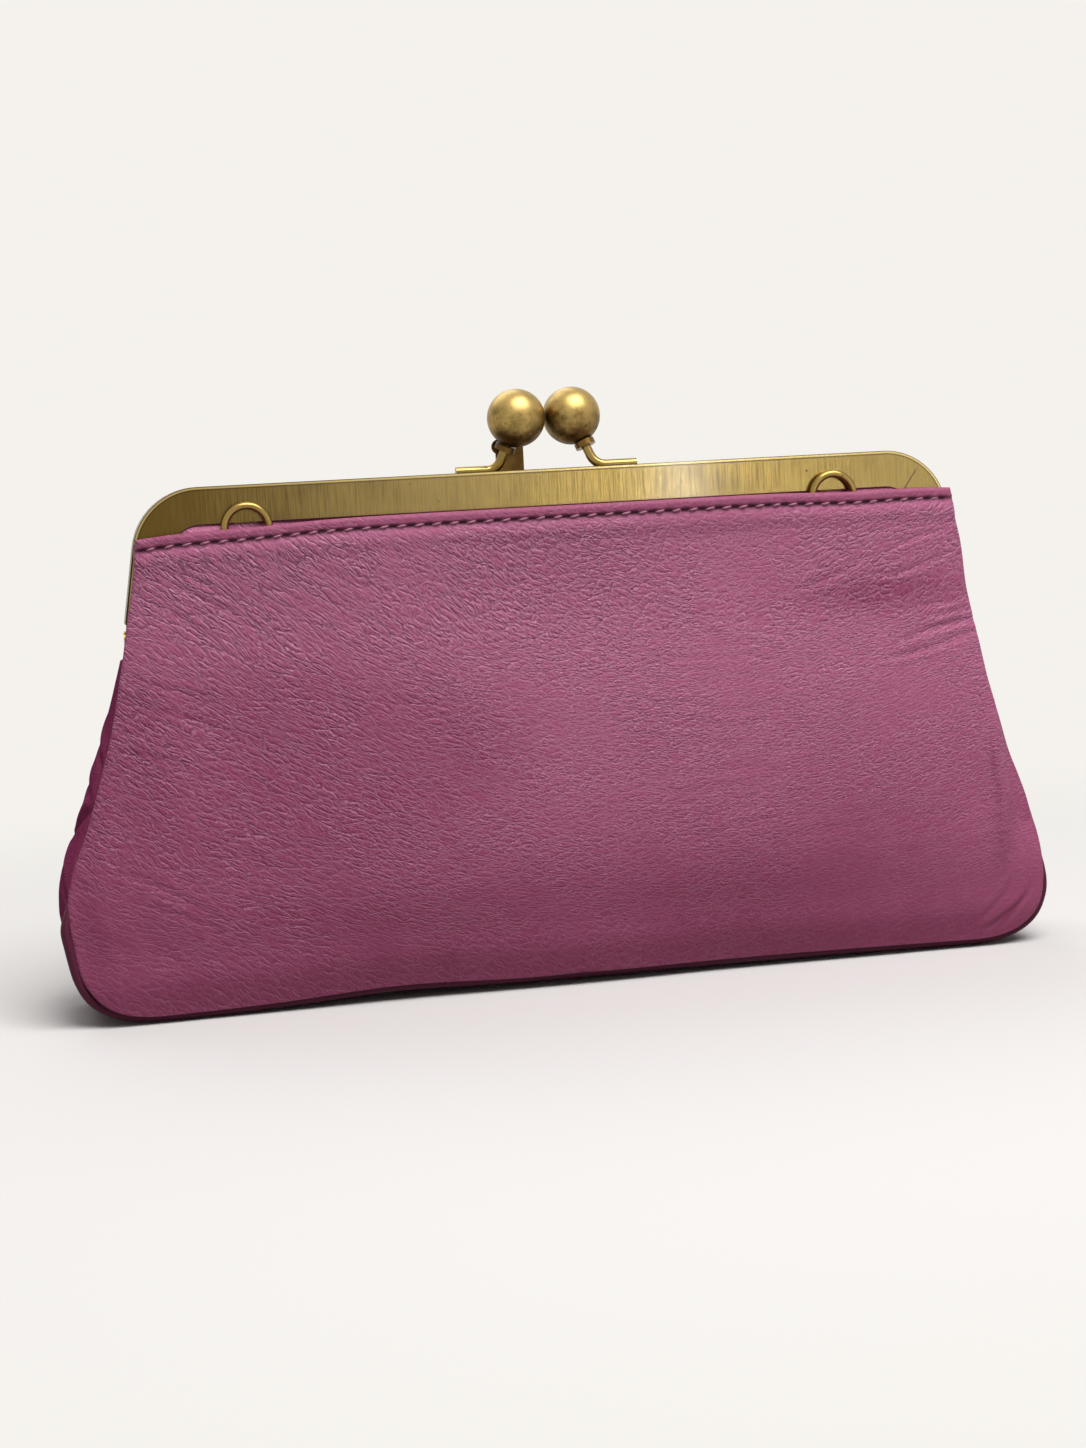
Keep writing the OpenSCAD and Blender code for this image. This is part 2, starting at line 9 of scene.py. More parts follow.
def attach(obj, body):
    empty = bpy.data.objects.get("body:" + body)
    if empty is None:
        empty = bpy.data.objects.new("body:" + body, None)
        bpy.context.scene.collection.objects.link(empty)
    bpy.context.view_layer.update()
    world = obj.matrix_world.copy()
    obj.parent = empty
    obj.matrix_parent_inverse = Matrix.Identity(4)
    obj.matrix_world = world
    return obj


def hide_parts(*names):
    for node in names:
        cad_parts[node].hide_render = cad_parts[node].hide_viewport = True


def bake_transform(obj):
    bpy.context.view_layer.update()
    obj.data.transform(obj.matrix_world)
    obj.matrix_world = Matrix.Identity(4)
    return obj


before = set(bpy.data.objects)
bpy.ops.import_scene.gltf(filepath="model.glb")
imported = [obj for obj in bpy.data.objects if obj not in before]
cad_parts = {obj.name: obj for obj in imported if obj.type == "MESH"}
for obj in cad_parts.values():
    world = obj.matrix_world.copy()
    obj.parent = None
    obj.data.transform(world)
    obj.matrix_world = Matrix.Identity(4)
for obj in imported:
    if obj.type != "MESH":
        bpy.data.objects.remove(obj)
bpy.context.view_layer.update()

# Sizes are in millimetres, and meshes are scaled to metres as they are made
MM = 0.001

# Body: half widths, heights and depths of the seam that joins panels and gusset
WIDEST_Z = 22.0
CORNER_W = 23.0
HALF_W = 122.0
FLAT_X = HALF_W - CORNER_W
CORNER_POWER = 3.0
PANEL_LOW_Z = 3.2
SPLIT_Z = 86.7
SEAM_DEPTH = 15.0
SEAM_TOP = 2.9
SEAM_TURN = 9.0
BELLY = 5.2
SWELL_POWER = 5.0
PANEL_BEND_H = 8.0
POCKET_BEND_H = 20.0

# Leather, lining and piping, and a point inside the body that the gusset faces away from
LEATHER_T = 1.4
SKIVED_T = 0.9
LINING_T = 0.5
LAYER_GAP = 0.3
BOARD_T = 1.5
PIPING_D = 2.6
PIPING_END_Z = 34.0
GUSSET_PUFF = 1.6
GUSSET_HEART = np.array([0.0, 0.0, 45.0])
THINNEST_EDGE_R = 0.05

# Frame: its outline, face and hinges
FRAME_TOP = 127.0
FRAME_HALF_W = 103.0
FRAME_R = 16.5
FACE_W = 9.0
LEG_SPLAY = math.radians(9.5)
FACE_Y = 4.3
HINGE_Z = 91.0
LEG_END_Z = 95.0
BAR_LOW_Z = FRAME_TOP - FACE_W
ENTRY_Z = BAR_LOW_Z - FACE_W
CORNER_Z = FRAME_TOP - FRAME_R
CORNER_X = FRAME_HALF_W - FRAME_R * math.cos(LEG_SPLAY)
HINGE_INSET = 3.6
CHANNEL_R = FRAME_R - HINGE_INSET * math.cos(LEG_SPLAY)
CHANNEL_TURN_Z = CORNER_Z + CHANNEL_R * math.sin(LEG_SPLAY)
CHANNEL_Y = 3.25

# A crack in the lacquer at the frame's right top corner: a place on it, the way across it and its top
CRACK_X = 92.2
CRACK_Z = 117.6
CRACK_ACROSS = (0.81, -0.58)
CRACK_TOP_Z = 122.6

# Pocket mouth: how far it stands off the frame, its dips and its turned hem
MOUTH_GAP = 5.0
HEM_DIP = 1.8
HEM_TILT = 0.9
SIDE_DIP = 0.5
SIDE_DIP_SHARE = 0.73
SIDE_DIP_REACH = 0.13
HEM_H = 2.7
HEM_EXTRA = 0.5
HEM_MIDDLE_Z = 115.0

# Stitches along the hem, the groove that they pull in and the slits between them
STITCH_PITCH = 4.3
STITCH_LEN = 2.5
STITCH_LEAN = 0.5
STITCH_ARCH = 0.62
STITCH_SINK = 0.35
THREAD_R = 0.28
GROOVE_DEEP = 0.42
SLIT_DEEP = 0.38

# How far the leather hangs over the bottom seam, and below what height
SEAM_OVERHANG = 1.3
OVERHANG_Z = 9.0


# Shares and blends
def share(value, low, high):
    return np.clip((value - low) / (high - low), 0.0, 1.0)


def eased(t):
    return t * t * (3.0 - 2.0 * t)


def mix(a, b, t):
    return a + (b - a) * t


def hump(value, middle, reach):
    """1 at middle, fading to 0 about twice reach away."""
    return np.exp(-(((value - middle) / reach) ** 2))


def random_heights(x, y, seed):
    """Smooth random heights from -1 to 1 over a plane, with cells one unit across."""
    size = 64
    table = np.random.default_rng(seed).uniform(-1.0, 1.0, (size, size))
    i, j = np.floor(x).astype(int), np.floor(y).astype(int)
    fx, fy = eased(x - i), eased(y - j)
    low = mix(table[i % size, j % size], table[(i + 1) % size, j % size], fx)
    high = mix(table[i % size, (j + 1) % size], table[(i + 1) % size, (j + 1) % size], fx)
    return mix(low, high, fy)


def stations(length, step, roundings):
    """Places from 0 to length: close together at both ends, where an edge is rounded, then even."""
    first = np.array(roundings)
    count = max(2, int((length - 2 * first[-1]) / step))
    middle = np.linspace(first[-1], length - first[-1], count + 1)
    return np.concatenate([first[:-1], middle, (length - first[:-1])[::-1]])


def shares_across(width, step, roundings=(0.0, 0.1, 0.3, 0.6, 1.0)):
    """Places across a sheet, as shares from -1 at its left edge to 1 at its right."""
    return 2 * stations(width, step, roundings) / width - 1


# Finishes
class Wire:
    """An output of a finish's nodes. Python sums with it add Math nodes."""

    def __init__(self, finish, socket):
        self.finish, self.socket = finish, socket

    def maths(self, operation, *terms):
        return self.finish.node("Math", {"operation": operation}, dict(enumerate(terms)))

    def __add__(self, other):
        return self.maths("ADD", self, other)

    def __radd__(self, other):
        return self.maths("ADD", other, self)

    def __sub__(self, other):
        return self.maths("SUBTRACT", self, other)

    def __rsub__(self, other):
        return self.maths("SUBTRACT", other, self)

    def __mul__(self, other):
        return self.maths("MULTIPLY", self, other)

    def __rmul__(self, other):
        return self.maths("MULTIPLY", other, self)

    def __truediv__(self, other):
        return self.maths("DIVIDE", self, other)

    def __rtruediv__(self, other):
        return self.maths("DIVIDE", other, self)

    def __pow__(self, other):
        return self.maths("POWER", self, other)

    def __rpow__(self, other):
        return self.maths("POWER", other, self)

    def at_least(self, other):
        return self.maths("MAXIMUM", self, other)

    def at_most(self, other):
        return self.maths("MINIMUM", self, other)

    def positive(self):
        return self.at_least(0.0)

    def size(self):
        return self.maths("ABSOLUTE", self)

    def between(self, low, high):
        """0 on low's side, 1 on high's side, eased between them; either may be the larger."""
        settings = {"interpolation_type": "SMOOTHSTEP"}
        return self.finish.node("MapRange", settings, {"Value": self, "From Min": low, "From Max": high})


class Finish:
    """A node material with one Principled shader."""

    def __init__(self, name, **constants):
        self.material = bpy.data.materials.new(name)
        self.material.use_nodes = True
        self.tree = self.material.node_tree
        self.tree.nodes.clear()
        self.shader = self.tree.nodes.new("ShaderNodeBsdfPrincipled")
        output = self.tree.nodes.new("ShaderNodeOutputMaterial")
        self.tree.links.new(self.shader.outputs[0], output.inputs["Surface"])
        for socket, value in constants.items():
            self.shader.inputs[socket.replace("_", " ")].default_value = value

    def feed(self, socket, value):
        if isinstance(value, Wire):
            self.tree.links.new(value.socket, socket)
        else:
            socket.default_value = value

    def node(self, kind, settings=None, inputs=None, output=0):
        """Adds a node: its settings first, then the values or links of its sockets."""
        made = self.tree.nodes.new("ShaderNode" + kind)
        for name, value in (settings or {}).items():
            setattr(made, name, value)
        for name, value in (inputs or {}).items():
            self.feed(made.inputs[name], value)
        return Wire(self, made.outputs[output])

    def blended(self, a, b, factor):
        """Colour a where factor is 0 and b where it is 1."""
        return self.node("Mix", {"data_type": "RGBA"}, {0: factor, 6: a, 7: b}, output=2)

    def scaled(self, place, scale):
        return self.node("VectorMath", {"operation": "MULTIPLY"}, {0: place, 1: scale})

    def shifted(self, place, offset):
        return self.node("VectorMath", {"operation": "ADD"}, {0: place, 1: offset})

    def noise(self, place, scale, detail=2.0, roughness=0.5, output=0):
        return self.node("TexNoise", {"noise_type": "FBM", "normalize": True},
                         {"Vector": place, "Scale": scale, "Detail": detail, "Roughness": roughness},
                         output=output)

    def parts(self, place):
        """The three coordinates of a place."""
        split = self.node("SeparateXYZ", {}, {0: place})
        return [Wire(self, socket) for socket in split.socket.node.outputs]

    def in_mm(self, place):
        """The three coordinates of a place on the object, in millimetres."""
        return self.parts(self.scaled(place, (1 / MM, 1 / MM, 1 / MM)))

    def wobble(self, place, scale, reach):
        """Random shifts in the plane of a map, by up to half of reach each way."""
        centred = self.shifted(self.noise(place, scale, output=1), (-0.5, -0.5, -0.5))
        return self.scaled(centred, (*reach, 0.0))

    def turned(self, place, degrees):
        return self.node("VectorRotate", {"rotation_type": "Z_AXIS"},
                         {"Vector": place, "Angle": math.radians(degrees)})

    def bump(self, height):
        """A relief whose height wire is in millimetres."""
        return self.node("Bump", {}, {"Height": height, "Distance": MM, "Strength": 1.0})

    def show(self, **wires):
        for name, wire in wires.items():
            self.feed(self.shader.inputs[name.replace("_", " ")], wire)
        return self.material


def tone(red, green, blue):
    """A colour given as it looks on a screen, 0 to 255, as the light value that nodes use."""
    def light(c):
        c = c / 255.0
        return c / 12.92 if c <= 0.04045 else ((c + 0.055) / 1.055) ** 2.4
    return (light(red), light(green), light(blue), 1.0)


def netted_lines(f, place, degrees, length, width, line, thread=0.27):
    """A net of valleys drawn out at one angle: the valleys, their lower lips and the cells between them."""
    turned = f.turned(place, degrees)
    wavy = f.shifted(turned, f.wobble(turned, 0.6, (2.2, 1.9)))
    depths = []
    for lower in (0.0, thread):
        net = f.shifted(f.scaled(wavy, (1.0 / length, 1.0 / width, 1.0)), (0.0, lower / width, 0.0))
        depths.append(f.node("TexVoronoi", {"voronoi_dimensions": "2D", "feature": "DISTANCE_TO_EDGE"},
                             {"Vector": net, "Scale": 1.0, "Randomness": 0.9}))
    valley, lip = (depth.between(line / width, 0.0) for depth in depths)
    ends = f.noise(f.scaled(turned, (0.8 / length, 0.5 / width, 1.0)), 1.0, detail=1.0).between(0.36, 0.56)
    return valley * ends, lip * ends, depths[0].between(0.0, 0.34)


def leather_finish(name, body, deep, shade, painted_highlight_colour, grain=1.0, shine=0.16, rough=0.44):
    """Soft calf leather: fine drawn lines at three angles over small pebbles, with painted shade in the
    valleys and painted highlights on their lower lips and on the pebbles' tops.
    """
    f = Finish(name, Specular_IOR_Level=shine)
    place = f.node("UVMap", {"uv_map": "grain"})
    fade = f.node("Attribute", {"attribute_name": "grain_share"}, output=2)
    painted_hollow_shade = f.node("Attribute", {"attribute_name": "painted_hollow_shade"}, output=2)
    depth = f.node("Attribute", {"attribute_name": "tone_and_painted_shade"}, output=2)
    along = f.parts(place)[0]
    left = along.between(20.0, -70.0)
    middle = 1.0 - ((along - 5.0) / 60.0).size().between(0.3, 1.2)
    hide = f.shifted(place, f.wobble(place, 0.045, (6.0, 7.0)))
    valleys, lips, plump = 0.0, 0.0, 0.0
    # Each net's angle in degrees, length and width of a cell, width of a line, and share
    nets = (
        (-5.0, 6.0, 2.0, 0.26, 0.45 + left * 0.55),
        (4.0, 3.0, 1.3, 0.21, 0.6),
        (-38.0, 6.0, 2.3, 0.26, 0.1 + middle * 0.6))
    for *net, share_here in nets:
        valley, lip, cell = netted_lines(f, hide, *net)
        valleys = (valley * share_here).at_least(valleys)
        lips = (lip * share_here).at_least(lips)
        plump = cell * share_here + plump
    patches = f.noise(place, 0.035).between(0.34, 0.6)
    strength = fade * (0.6 + patches * 0.4) * grain
    pebbles = f.noise(f.scaled(hide, (1.5, 1.9, 1.0)), 1.0, detail=1.0)
    height = (plump * 0.08 - valleys * 0.11 + lips * 0.07 + pebbles * 0.16) * strength
    mottle = f.noise(place, 0.13, detail=3.0)
    # Painted highlight: the valleys' lower lips and the pebbles' tops are lightened as if lit from above.
    painted_highlight_share = (lips * (1.0 - valleys * 0.6) * 0.8 + pebbles.between(0.45, 0.8) * 0.25) * strength
    # Painted shade in the valleys and between the pebbles.
    painted_valley_shade = (valleys * 0.55 + pebbles.between(0.5, 0.2) * 0.3) * strength
    # Painted shade stored at the points, with random tone mixed in, draws the colour towards the deep one; on
    # the gusset and piping that value is an even tone.
    painted_shade_and_mottle = depth + (mottle - 0.5) * 0.25
    colour = f.blended(body, deep, painted_shade_and_mottle.positive().at_most(1.0))
    colour = f.blended(colour, painted_highlight_colour, painted_highlight_share * (1.0 - depth * 0.4))
    colour = f.blended(colour, tone(88, 34, 60), painted_valley_shade)
    # Painted shade in the hem's stitch groove and the slits between stitches.
    colour = f.blended(colour, shade, painted_hollow_shade)
    return f.show(Base_Color=colour, Roughness=rough + mottle * 0.12 + painted_valley_shade * 0.2, Normal=f.bump(height))


def rim_distance(f, place):
    """Millimetres from the frame's outer edge, over its rounded top corners and down its splayed legs."""
    x, y, z = f.in_mm(place)
    below = (CORNER_Z - z).positive()
    beside = (x.size() - below * math.tan(LEG_SPLAY) - CORNER_X).positive()
    above = (z - CORNER_Z).positive()
    return FRAME_R - (beside * beside + above * above) ** 0.5


def brass_finish(name, bright, dull, streaks=1.0, patina=0.45, rough=0.26, rim=False):
    """Antiqued brass: brushed upright, lacquer rubbed through to brown patches, small dark nicks; on the
    frame, painted shade towards its left end, on its outer edge and in a line inside the rim, and a painted
    highlight along the rolled rim.
    """
    f = Finish(name, Metallic=1.0, Coat_Weight=0.0, Coat_Roughness=0.09)
    place = f.node("TexCoord", {}, output=3)
    brushed = f.noise(f.scaled(place, (4200.0, 4200.0, 110.0)), 1.0)
    broad = f.noise(f.scaled(place, (1100.0, 1100.0, 45.0)), 1.0)
    cloud = f.noise(place, 55.0, detail=5.0, roughness=0.6)
    nicks = f.noise(f.scaled(place, (700.0, 700.0, 420.0)), 1.0, detail=1.0).between(0.735, 0.78)
    lines = (brushed.between(0.42, 0.72) * 0.42 + broad.between(0.45, 0.75) * 0.14) * streaks
    # Painted shade: the frame darker towards its left end, with less lacquer coat there.
    painted_left_shade = f.parts(place)[0].between(-0.02, -0.105) * 0.95 if rim else 0.0
    wear_and_painted_shade = cloud.between(0.4, 0.75) * patina + lines + painted_left_shade
    colour = f.blended(bright, dull, wear_and_painted_shade.at_most(1.0))
    dark = nicks * 0.7
    height = brushed * streaks * 0.012 + cloud * 0.02 - nicks * 0.02
    if rim:
        x, y, z = f.in_mm(place)
        edge = rim_distance(f, place)
        # Painted shade on the frame's outer edge, strongest at the front, and in a thin line just inside the
        # rim.
        outside = edge.between(0.22, 0.08) * (y.size().between(3.4, 4.0) * 0.8 + 0.2)
        groove = edge.between(0.55, 0.72) * edge.between(1.05, 0.85)
        rolled = edge.between(0.1, 0.25) * edge.between(0.68, 0.5)
        # Painted highlight along the rolled rim.
        colour = f.blended(colour, tone(214, 190, 124), rolled * (0.8 - painted_left_shade * 0.25))
        beside = (x - CRACK_X) * CRACK_ACROSS[0] + (z - CRACK_Z) * CRACK_ACROSS[1]
        on_front = y.between(1.3 - FACE_Y, 0.5 - FACE_Y)
        crack = beside.size().between(0.22, 0.08) * z.between(CRACK_TOP_Z, CRACK_TOP_Z - 1.4) * on_front
        # Real nicks and the crack, and the painted shade of the edge and of the line inside the rim.
        dark = dark.at_least(crack * 0.8).at_least(outside * 0.85 + groove * 0.6)
        f.show(Coat_Weight=1.0 - painted_left_shade * 0.95)
    colour = f.blended(colour, tone(54, 38, 18), dark)
    return f.show(Base_Color=colour, Roughness=rough + wear_and_painted_shade * 0.14 + dark * 0.2, Normal=f.bump(height))


def ball_finish(name):
    """Cast brass balls, with painted light and shade: bright at the top and brown below, where the collar
    holds them.
    """
    f = Finish(name, Metallic=1.0)
    place = f.node("TexCoord", {}, output=3)
    height = (f.parts(place)[2] / MM - FRAME_TOP) / 20.0
    cloud = f.noise(place, 240.0, detail=4.0, roughness=0.6)
    specks = f.noise(place, 900.0, detail=1.0).between(0.7, 0.76)
    # Painted light and shade: brighter high on the ball and darker low down, with random patina.
    wear_and_painted_shade = (cloud + height * 0.6).between(1.06, 0.58)
    colour = f.blended(tone(172, 146, 88), tone(84, 62, 30), wear_and_painted_shade)
    colour = f.blended(colour, tone(50, 36, 18), specks * 0.5)
    return f.show(Base_Color=colour, Roughness=0.32 + cloud * 0.12 + wear_and_painted_shade * 0.1,
                  Normal=f.bump(cloud * 0.03 - specks * 0.02))


def cloth_finish(name, light, dark):
    """Plain woven cotton lining: threads crossing at a third of a millimetre."""
    f = Finish(name, Sheen_Weight=0.25, Roughness=0.85)
    place = f.node("UVMap", {"uv_map": "grain"})
    warp = f.node("TexWave", {"bands_direction": "X"}, {"Vector": place, "Scale": 0.9, "Distortion": 0.6})
    weft = f.node("TexWave", {"bands_direction": "Y"}, {"Vector": place, "Scale": 0.9, "Distortion": 0.6})
    slub = f.noise(f.scaled(place, (0.3, 3.0, 1.0)), 1.0, detail=3.0)
    threads = warp.at_least(weft)
    colour = f.blended(dark, light, threads * 0.6 + slub * 0.4)
    return f.show(Base_Color=colour, Normal=f.bump(threads * 0.12 + slub * 0.05))


def paper_finish(name):
    """Kraft paper, of the cords and the board: pale fibres on brown."""
    f = Finish(name, Roughness=0.9)
    place = f.node("TexCoord", {}, output=3)
    fibres = f.noise(f.scaled(place, (900.0, 2600.0, 2600.0)), 1.0, detail=3.0)
    colour = f.blended(tone(150, 126, 92), tone(198, 178, 142), fibres.between(0.3, 0.7))
    return f.show(Base_Color=colour, Normal=f.bump(fibres * 0.1))


def thread_finish(name):
    """Waxed sewing thread with its twist."""
    f = Finish(name, Roughness=0.5)
    place = f.node("UVMap", {"uv_map": "grain"})
    twist = f.node("TexWave", {"bands_direction": "DIAGONAL"}, {"Vector": place, "Scale": 1.3})
    colour = f.blended(tone(122, 62, 86), tone(196, 136, 160), twist * 0.7 + 0.2)
    return f.show(Base_Color=colour, Normal=f.bump(twist * 0.06))


# Meshes
def add_piece(name, points, faces, finish, uv, fields=None):
    """A mesh object from points in millimetres, with a map and optional values at its points."""
    mesh = bpy.data.meshes.new(name)
    mesh.from_pydata((np.asarray(points) * MM).tolist(), [], faces)
    mesh.validate()
    layer = mesh.uv_layers.new(name="grain")
    corners = np.empty(len(mesh.loops), int)
    mesh.loops.foreach_get("vertex_index", corners)
    layer.uv.foreach_set("vector", np.asarray(uv)[corners].astype(np.float32).ravel())
    for key, values in (fields or {}).items():
        mesh.attributes.new(key, "FLOAT", "POINT").data.foreach_set("value", values.astype(np.float32))
    build = bmesh.new()
    build.from_mesh(mesh)
    bmesh.ops.recalc_face_normals(build, faces=build.faces)
    build.to_mesh(mesh)
    build.free()
    mesh.polygons.foreach_set("use_smooth", np.ones(len(mesh.polygons), bool))
    mesh.materials.append(finish)
    made = bpy.data.objects.new(name, mesh)
    bpy.context.scene.collection.objects.link(made)
    return made


def unit(v):
    return v / np.maximum(np.linalg.norm(v, axis=-1, keepdims=True), 1e-9)


def grid_normals(grid, towards):
    across = np.gradient(grid, axis=1)
    up = np.gradient(grid, axis=0)
    normal = unit(np.cross(across, up))
    return normal * np.sign((normal * towards).sum(-1).mean() or 1.0)


def border_distance(grid):
    """How far each point of a grid lies from the grid's border, along its rows and columns."""
    def run(axis):
        steps = np.linalg.norm(np.diff(grid, axis=axis), axis=-1)
        pad = [(0, 0), (0, 0)]
        pad[axis] = (1, 0)
        length = np.cumsum(np.pad(steps, pad), axis=axis)
        return np.minimum(length, length.max(axis=axis, keepdims=True) - length)
    return np.minimum(run(0), run(1))


def shell(name, outside, thickness, towards, finish, uv, fields=None):
    """A sheet with rounded edges: its outer face and, one thickness in, its inner face, joined at the rim."""
    rows, cols = outside.shape[:2]
    normal = grid_normals(outside, np.array(towards))
    depth = np.broadcast_to(np.asarray(thickness, float), (rows, cols))
    radius = np.maximum(depth / 2, THINNEST_EDGE_R)
    inward = np.clip(1 - border_distance(outside) / radius, 0, 1)
    draw = (depth / 2 * (1 - np.sqrt(1 - inward**2)))[..., None]
    outer = outside - normal * draw
    inner = outside - normal * (depth[..., None] - draw)
    index = np.arange(rows * cols).reshape(rows, cols)
    inner_index = index + rows * cols
    for side in (np.s_[0, :], np.s_[-1, :], np.s_[:, 0], np.s_[:, -1]):
        inner_index[side] = index[side]

    def quads(i):
        return np.stack([i[:-1, :-1], i[:-1, 1:], i[1:, 1:], i[1:, :-1]], -1).reshape(-1, 4)

    points = np.concatenate([outer.reshape(-1, 3), inner.reshape(-1, 3)])
    faces = np.concatenate([quads(index), quads(inner_index)[:, ::-1]])
    kept = np.unique(faces)
    place = np.full(len(points), -1)
    place[kept] = np.arange(len(kept))
    both = {key: np.concatenate([v.ravel(), np.zeros(v.size)])[kept] for key, v in (fields or {}).items()}
    maps = np.concatenate([uv.reshape(-1, 2), uv.reshape(-1, 2)])[kept]
    return add_piece(name, points[kept], place[faces].tolist(), finish, maps, both)


def tube(path, radius, sides, towards):
    """Points, faces and a map for a round cord along a path, with a flat face at each end."""
    path = np.asarray(path, float)
    radius = np.broadcast_to(radius, len(path))
    ahead = unit(np.gradient(path, axis=0))
    side = unit(np.cross(ahead, np.broadcast_to(towards, path.shape)))
    out = unit(np.cross(side, ahead))
    turn = np.linspace(0, 2 * math.pi, sides, endpoint=False)
    ring = (out[:, None] * np.cos(turn)[None, :, None] + side[:, None] * np.sin(turn)[None, :, None])
    points = (path[:, None] + ring * radius[:, None, None]).reshape(-1, 3)

    def at(k, j):
        return k * sides + j % sides

    faces = [[at(k, j), at(k + 1, j), at(k + 1, j + 1), at(k, j + 1)]
             for k in range(len(path) - 1) for j in range(sides)]
    faces += [[at(0, j) for j in range(sides)][::-1], [at(len(path) - 1, j) for j in range(sides)]]
    length = np.concatenate([[0], np.cumsum(np.linalg.norm(np.diff(path, axis=0), axis=1))])
    round_way = np.abs(turn - math.pi) * radius.mean()
    maps = np.stack(np.broadcast_arrays(length[:, None], round_way[None, :]), -1).reshape(-1, 2)
    return points, faces, maps


# The bag's outline and the faces of its panels
def leg_x(z):
    return FRAME_HALF_W + (CORNER_Z + FRAME_R * math.sin(LEG_SPLAY) - z) * math.tan(LEG_SPLAY)


def outline_x(z):
    """Half the body's width at a height: the leg's line, a long slope to the widest point, a round corner."""
    run = HINGE_Z - WIDEST_Z
    t = np.clip((HINGE_Z - z) / run, 0, 1)
    slope = mix(leg_x(HINGE_Z), HALF_W, eased(t)) + math.tan(LEG_SPLAY) * run * t * (1 - t) ** 2
    drop = share(WIDEST_Z - z, 0, WIDEST_Z - PANEL_LOW_Z)
    corner = FLAT_X + CORNER_W * (1 - drop**CORNER_POWER) ** (1 / CORNER_POWER)
    return np.where(z >= HINGE_Z, leg_x(z), np.where(z >= WIDEST_Z, slope, corner))


def seam_y(z):
    """Depth of the seam: level up to the widest point, then drawing in evenly, with a soft turn between."""
    turning = np.clip(z - WIDEST_Z + SEAM_TURN, 0, 2 * SEAM_TURN) ** 2 / (4 * SEAM_TURN)
    over = turning + np.maximum(z - WIDEST_Z - SEAM_TURN, 0)
    return SEAM_DEPTH - over * (SEAM_DEPTH - SEAM_TOP) / (SPLIT_Z - WIDEST_Z)


def swell(z):
    return BELLY * np.sin(math.pi / 2 * share(z, PANEL_LOW_Z, WIDEST_Z + CORNER_W))


def crown(u):
    return 1 - np.abs(u) ** SWELL_POWER


def panel_y(u, z):
    """Depth of the outer face of a body panel, from its seam up into the frame's channel."""
    free = seam_y(z) + LAYER_GAP + LEATHER_T + swell(z) * crown(u)
    beside = (1 - np.abs(u)) * FRAME_HALF_W
    entry = mix(LEG_END_Z, ENTRY_Z, eased(share(beside, FACE_W, 3 * FACE_W)))
    low = free - LAYER_GAP * share(z, WIDEST_Z, SPLIT_Z)
    return mix(low, CHANNEL_Y, eased(share(z, SPLIT_Z - PANEL_BEND_H, entry)))


def panel_x(z):
    """Half width of a body panel, which draws in past the hinge and follows the channel round the corner."""
    arch = CORNER_X + np.sqrt(np.maximum(0, CHANNEL_R**2 - (z - CORNER_Z) ** 2))
    inset = HINGE_INSET * eased(share(z, SPLIT_Z - CORNER_W, SPLIT_Z))
    return np.where(z > CHANNEL_TURN_Z, arch, outline_x(z) - inset)


def pocket_y(u, z):
    """Depth of the pocket's inner face: against the panel below, standing off the frame at the mouth."""
    free = seam_y(z) + 2 * LAYER_GAP + LEATHER_T + swell(z) * crown(u)
    off = FACE_Y + LAYER_GAP + MOUTH_GAP * crown(u)
    return mix(free, off, eased(share(z, SPLIT_Z - POCKET_BEND_H, BAR_LOW_Z)))


def mouth_z(u):
    """The mouth's edge: it dips at its ends, and a little where the leather behind shows over it."""
    level = BAR_LOW_Z - LAYER_GAP / 2 - HEM_DIP * np.abs(u) ** SWELL_POWER + HEM_TILT * u * np.abs(u) ** 3
    return level - SIDE_DIP * hump(np.abs(u), SIDE_DIP_SHARE, SIDE_DIP_REACH)


# How far the slack leather leans to the right (below 0: to the left) at some heights, along both of its sides
LEAN_Z = np.linspace(0, 100, 201)
LEFT_LEANS = [(0, -1.5), (5, -1.2), (10, -0.6), (16, -0.6), (21, -1.3), (26, -2.4), (32, -2.8), (38, -2.2),
              (44, -0.7), (50, 0.1), (62, 0.6), (70, 0.5), (82, 0.0), (100, 0.0)]
RIGHT_LEANS = [(0, -1.0), (7, -1.5), (11, -2.0), (16, -2.2), (21, -2.0), (27, -1.7), (38, -1.9), (49, -2.8),
               (59, -3.0), (67, -2.0), (77, -0.3), (86, 0.4), (94, 0.0), (100, 0.0)]
LEAN_BLEND_X = 110

# The base bows up off the floor: a broad bow in the middle, a small one on the left, gone at a low height
BASE_BOW = 1.0
BASE_BOW_X = 8
BASE_BOW_REACH = 84
SIDE_BOW = 1.1
SIDE_BOW_X = -46
SIDE_BOW_REACH = 22
BOW_TOP_Z = 30
BOW_FULL_Z = 2


def soft_curve(places):
    """A smooth line through given places, read at each step of LEAN_Z."""
    line = np.interp(LEAN_Z, *zip(*places))
    window = np.hanning(15)
    return np.convolve(np.pad(line, len(window) // 2, "edge"), window / window.sum(), "valid")


LEAN_LEFT, LEAN_RIGHT = soft_curve(LEFT_LEANS), soft_curve(RIGHT_LEANS)


def settled(points):
    """The body as it stands: its slack leather leans a little and its base bows up."""
    x, z = points[..., 0], points[..., 2]
    left = np.interp(z, LEAN_Z, LEAN_LEFT)
    right = np.interp(z, LEAN_Z, LEAN_RIGHT)
    lean = mix(left, right, eased(share(x, -LEAN_BLEND_X, LEAN_BLEND_X)))
    broad = BASE_BOW * np.exp(-(((x - BASE_BOW_X) / BASE_BOW_REACH) ** 4))
    bow = broad + SIDE_BOW * hump(x, SIDE_BOW_X, SIDE_BOW_REACH)
    return points + np.stack([lean, 0 * x, bow * share(z, BOW_TOP_Z, BOW_FULL_Z)], -1)


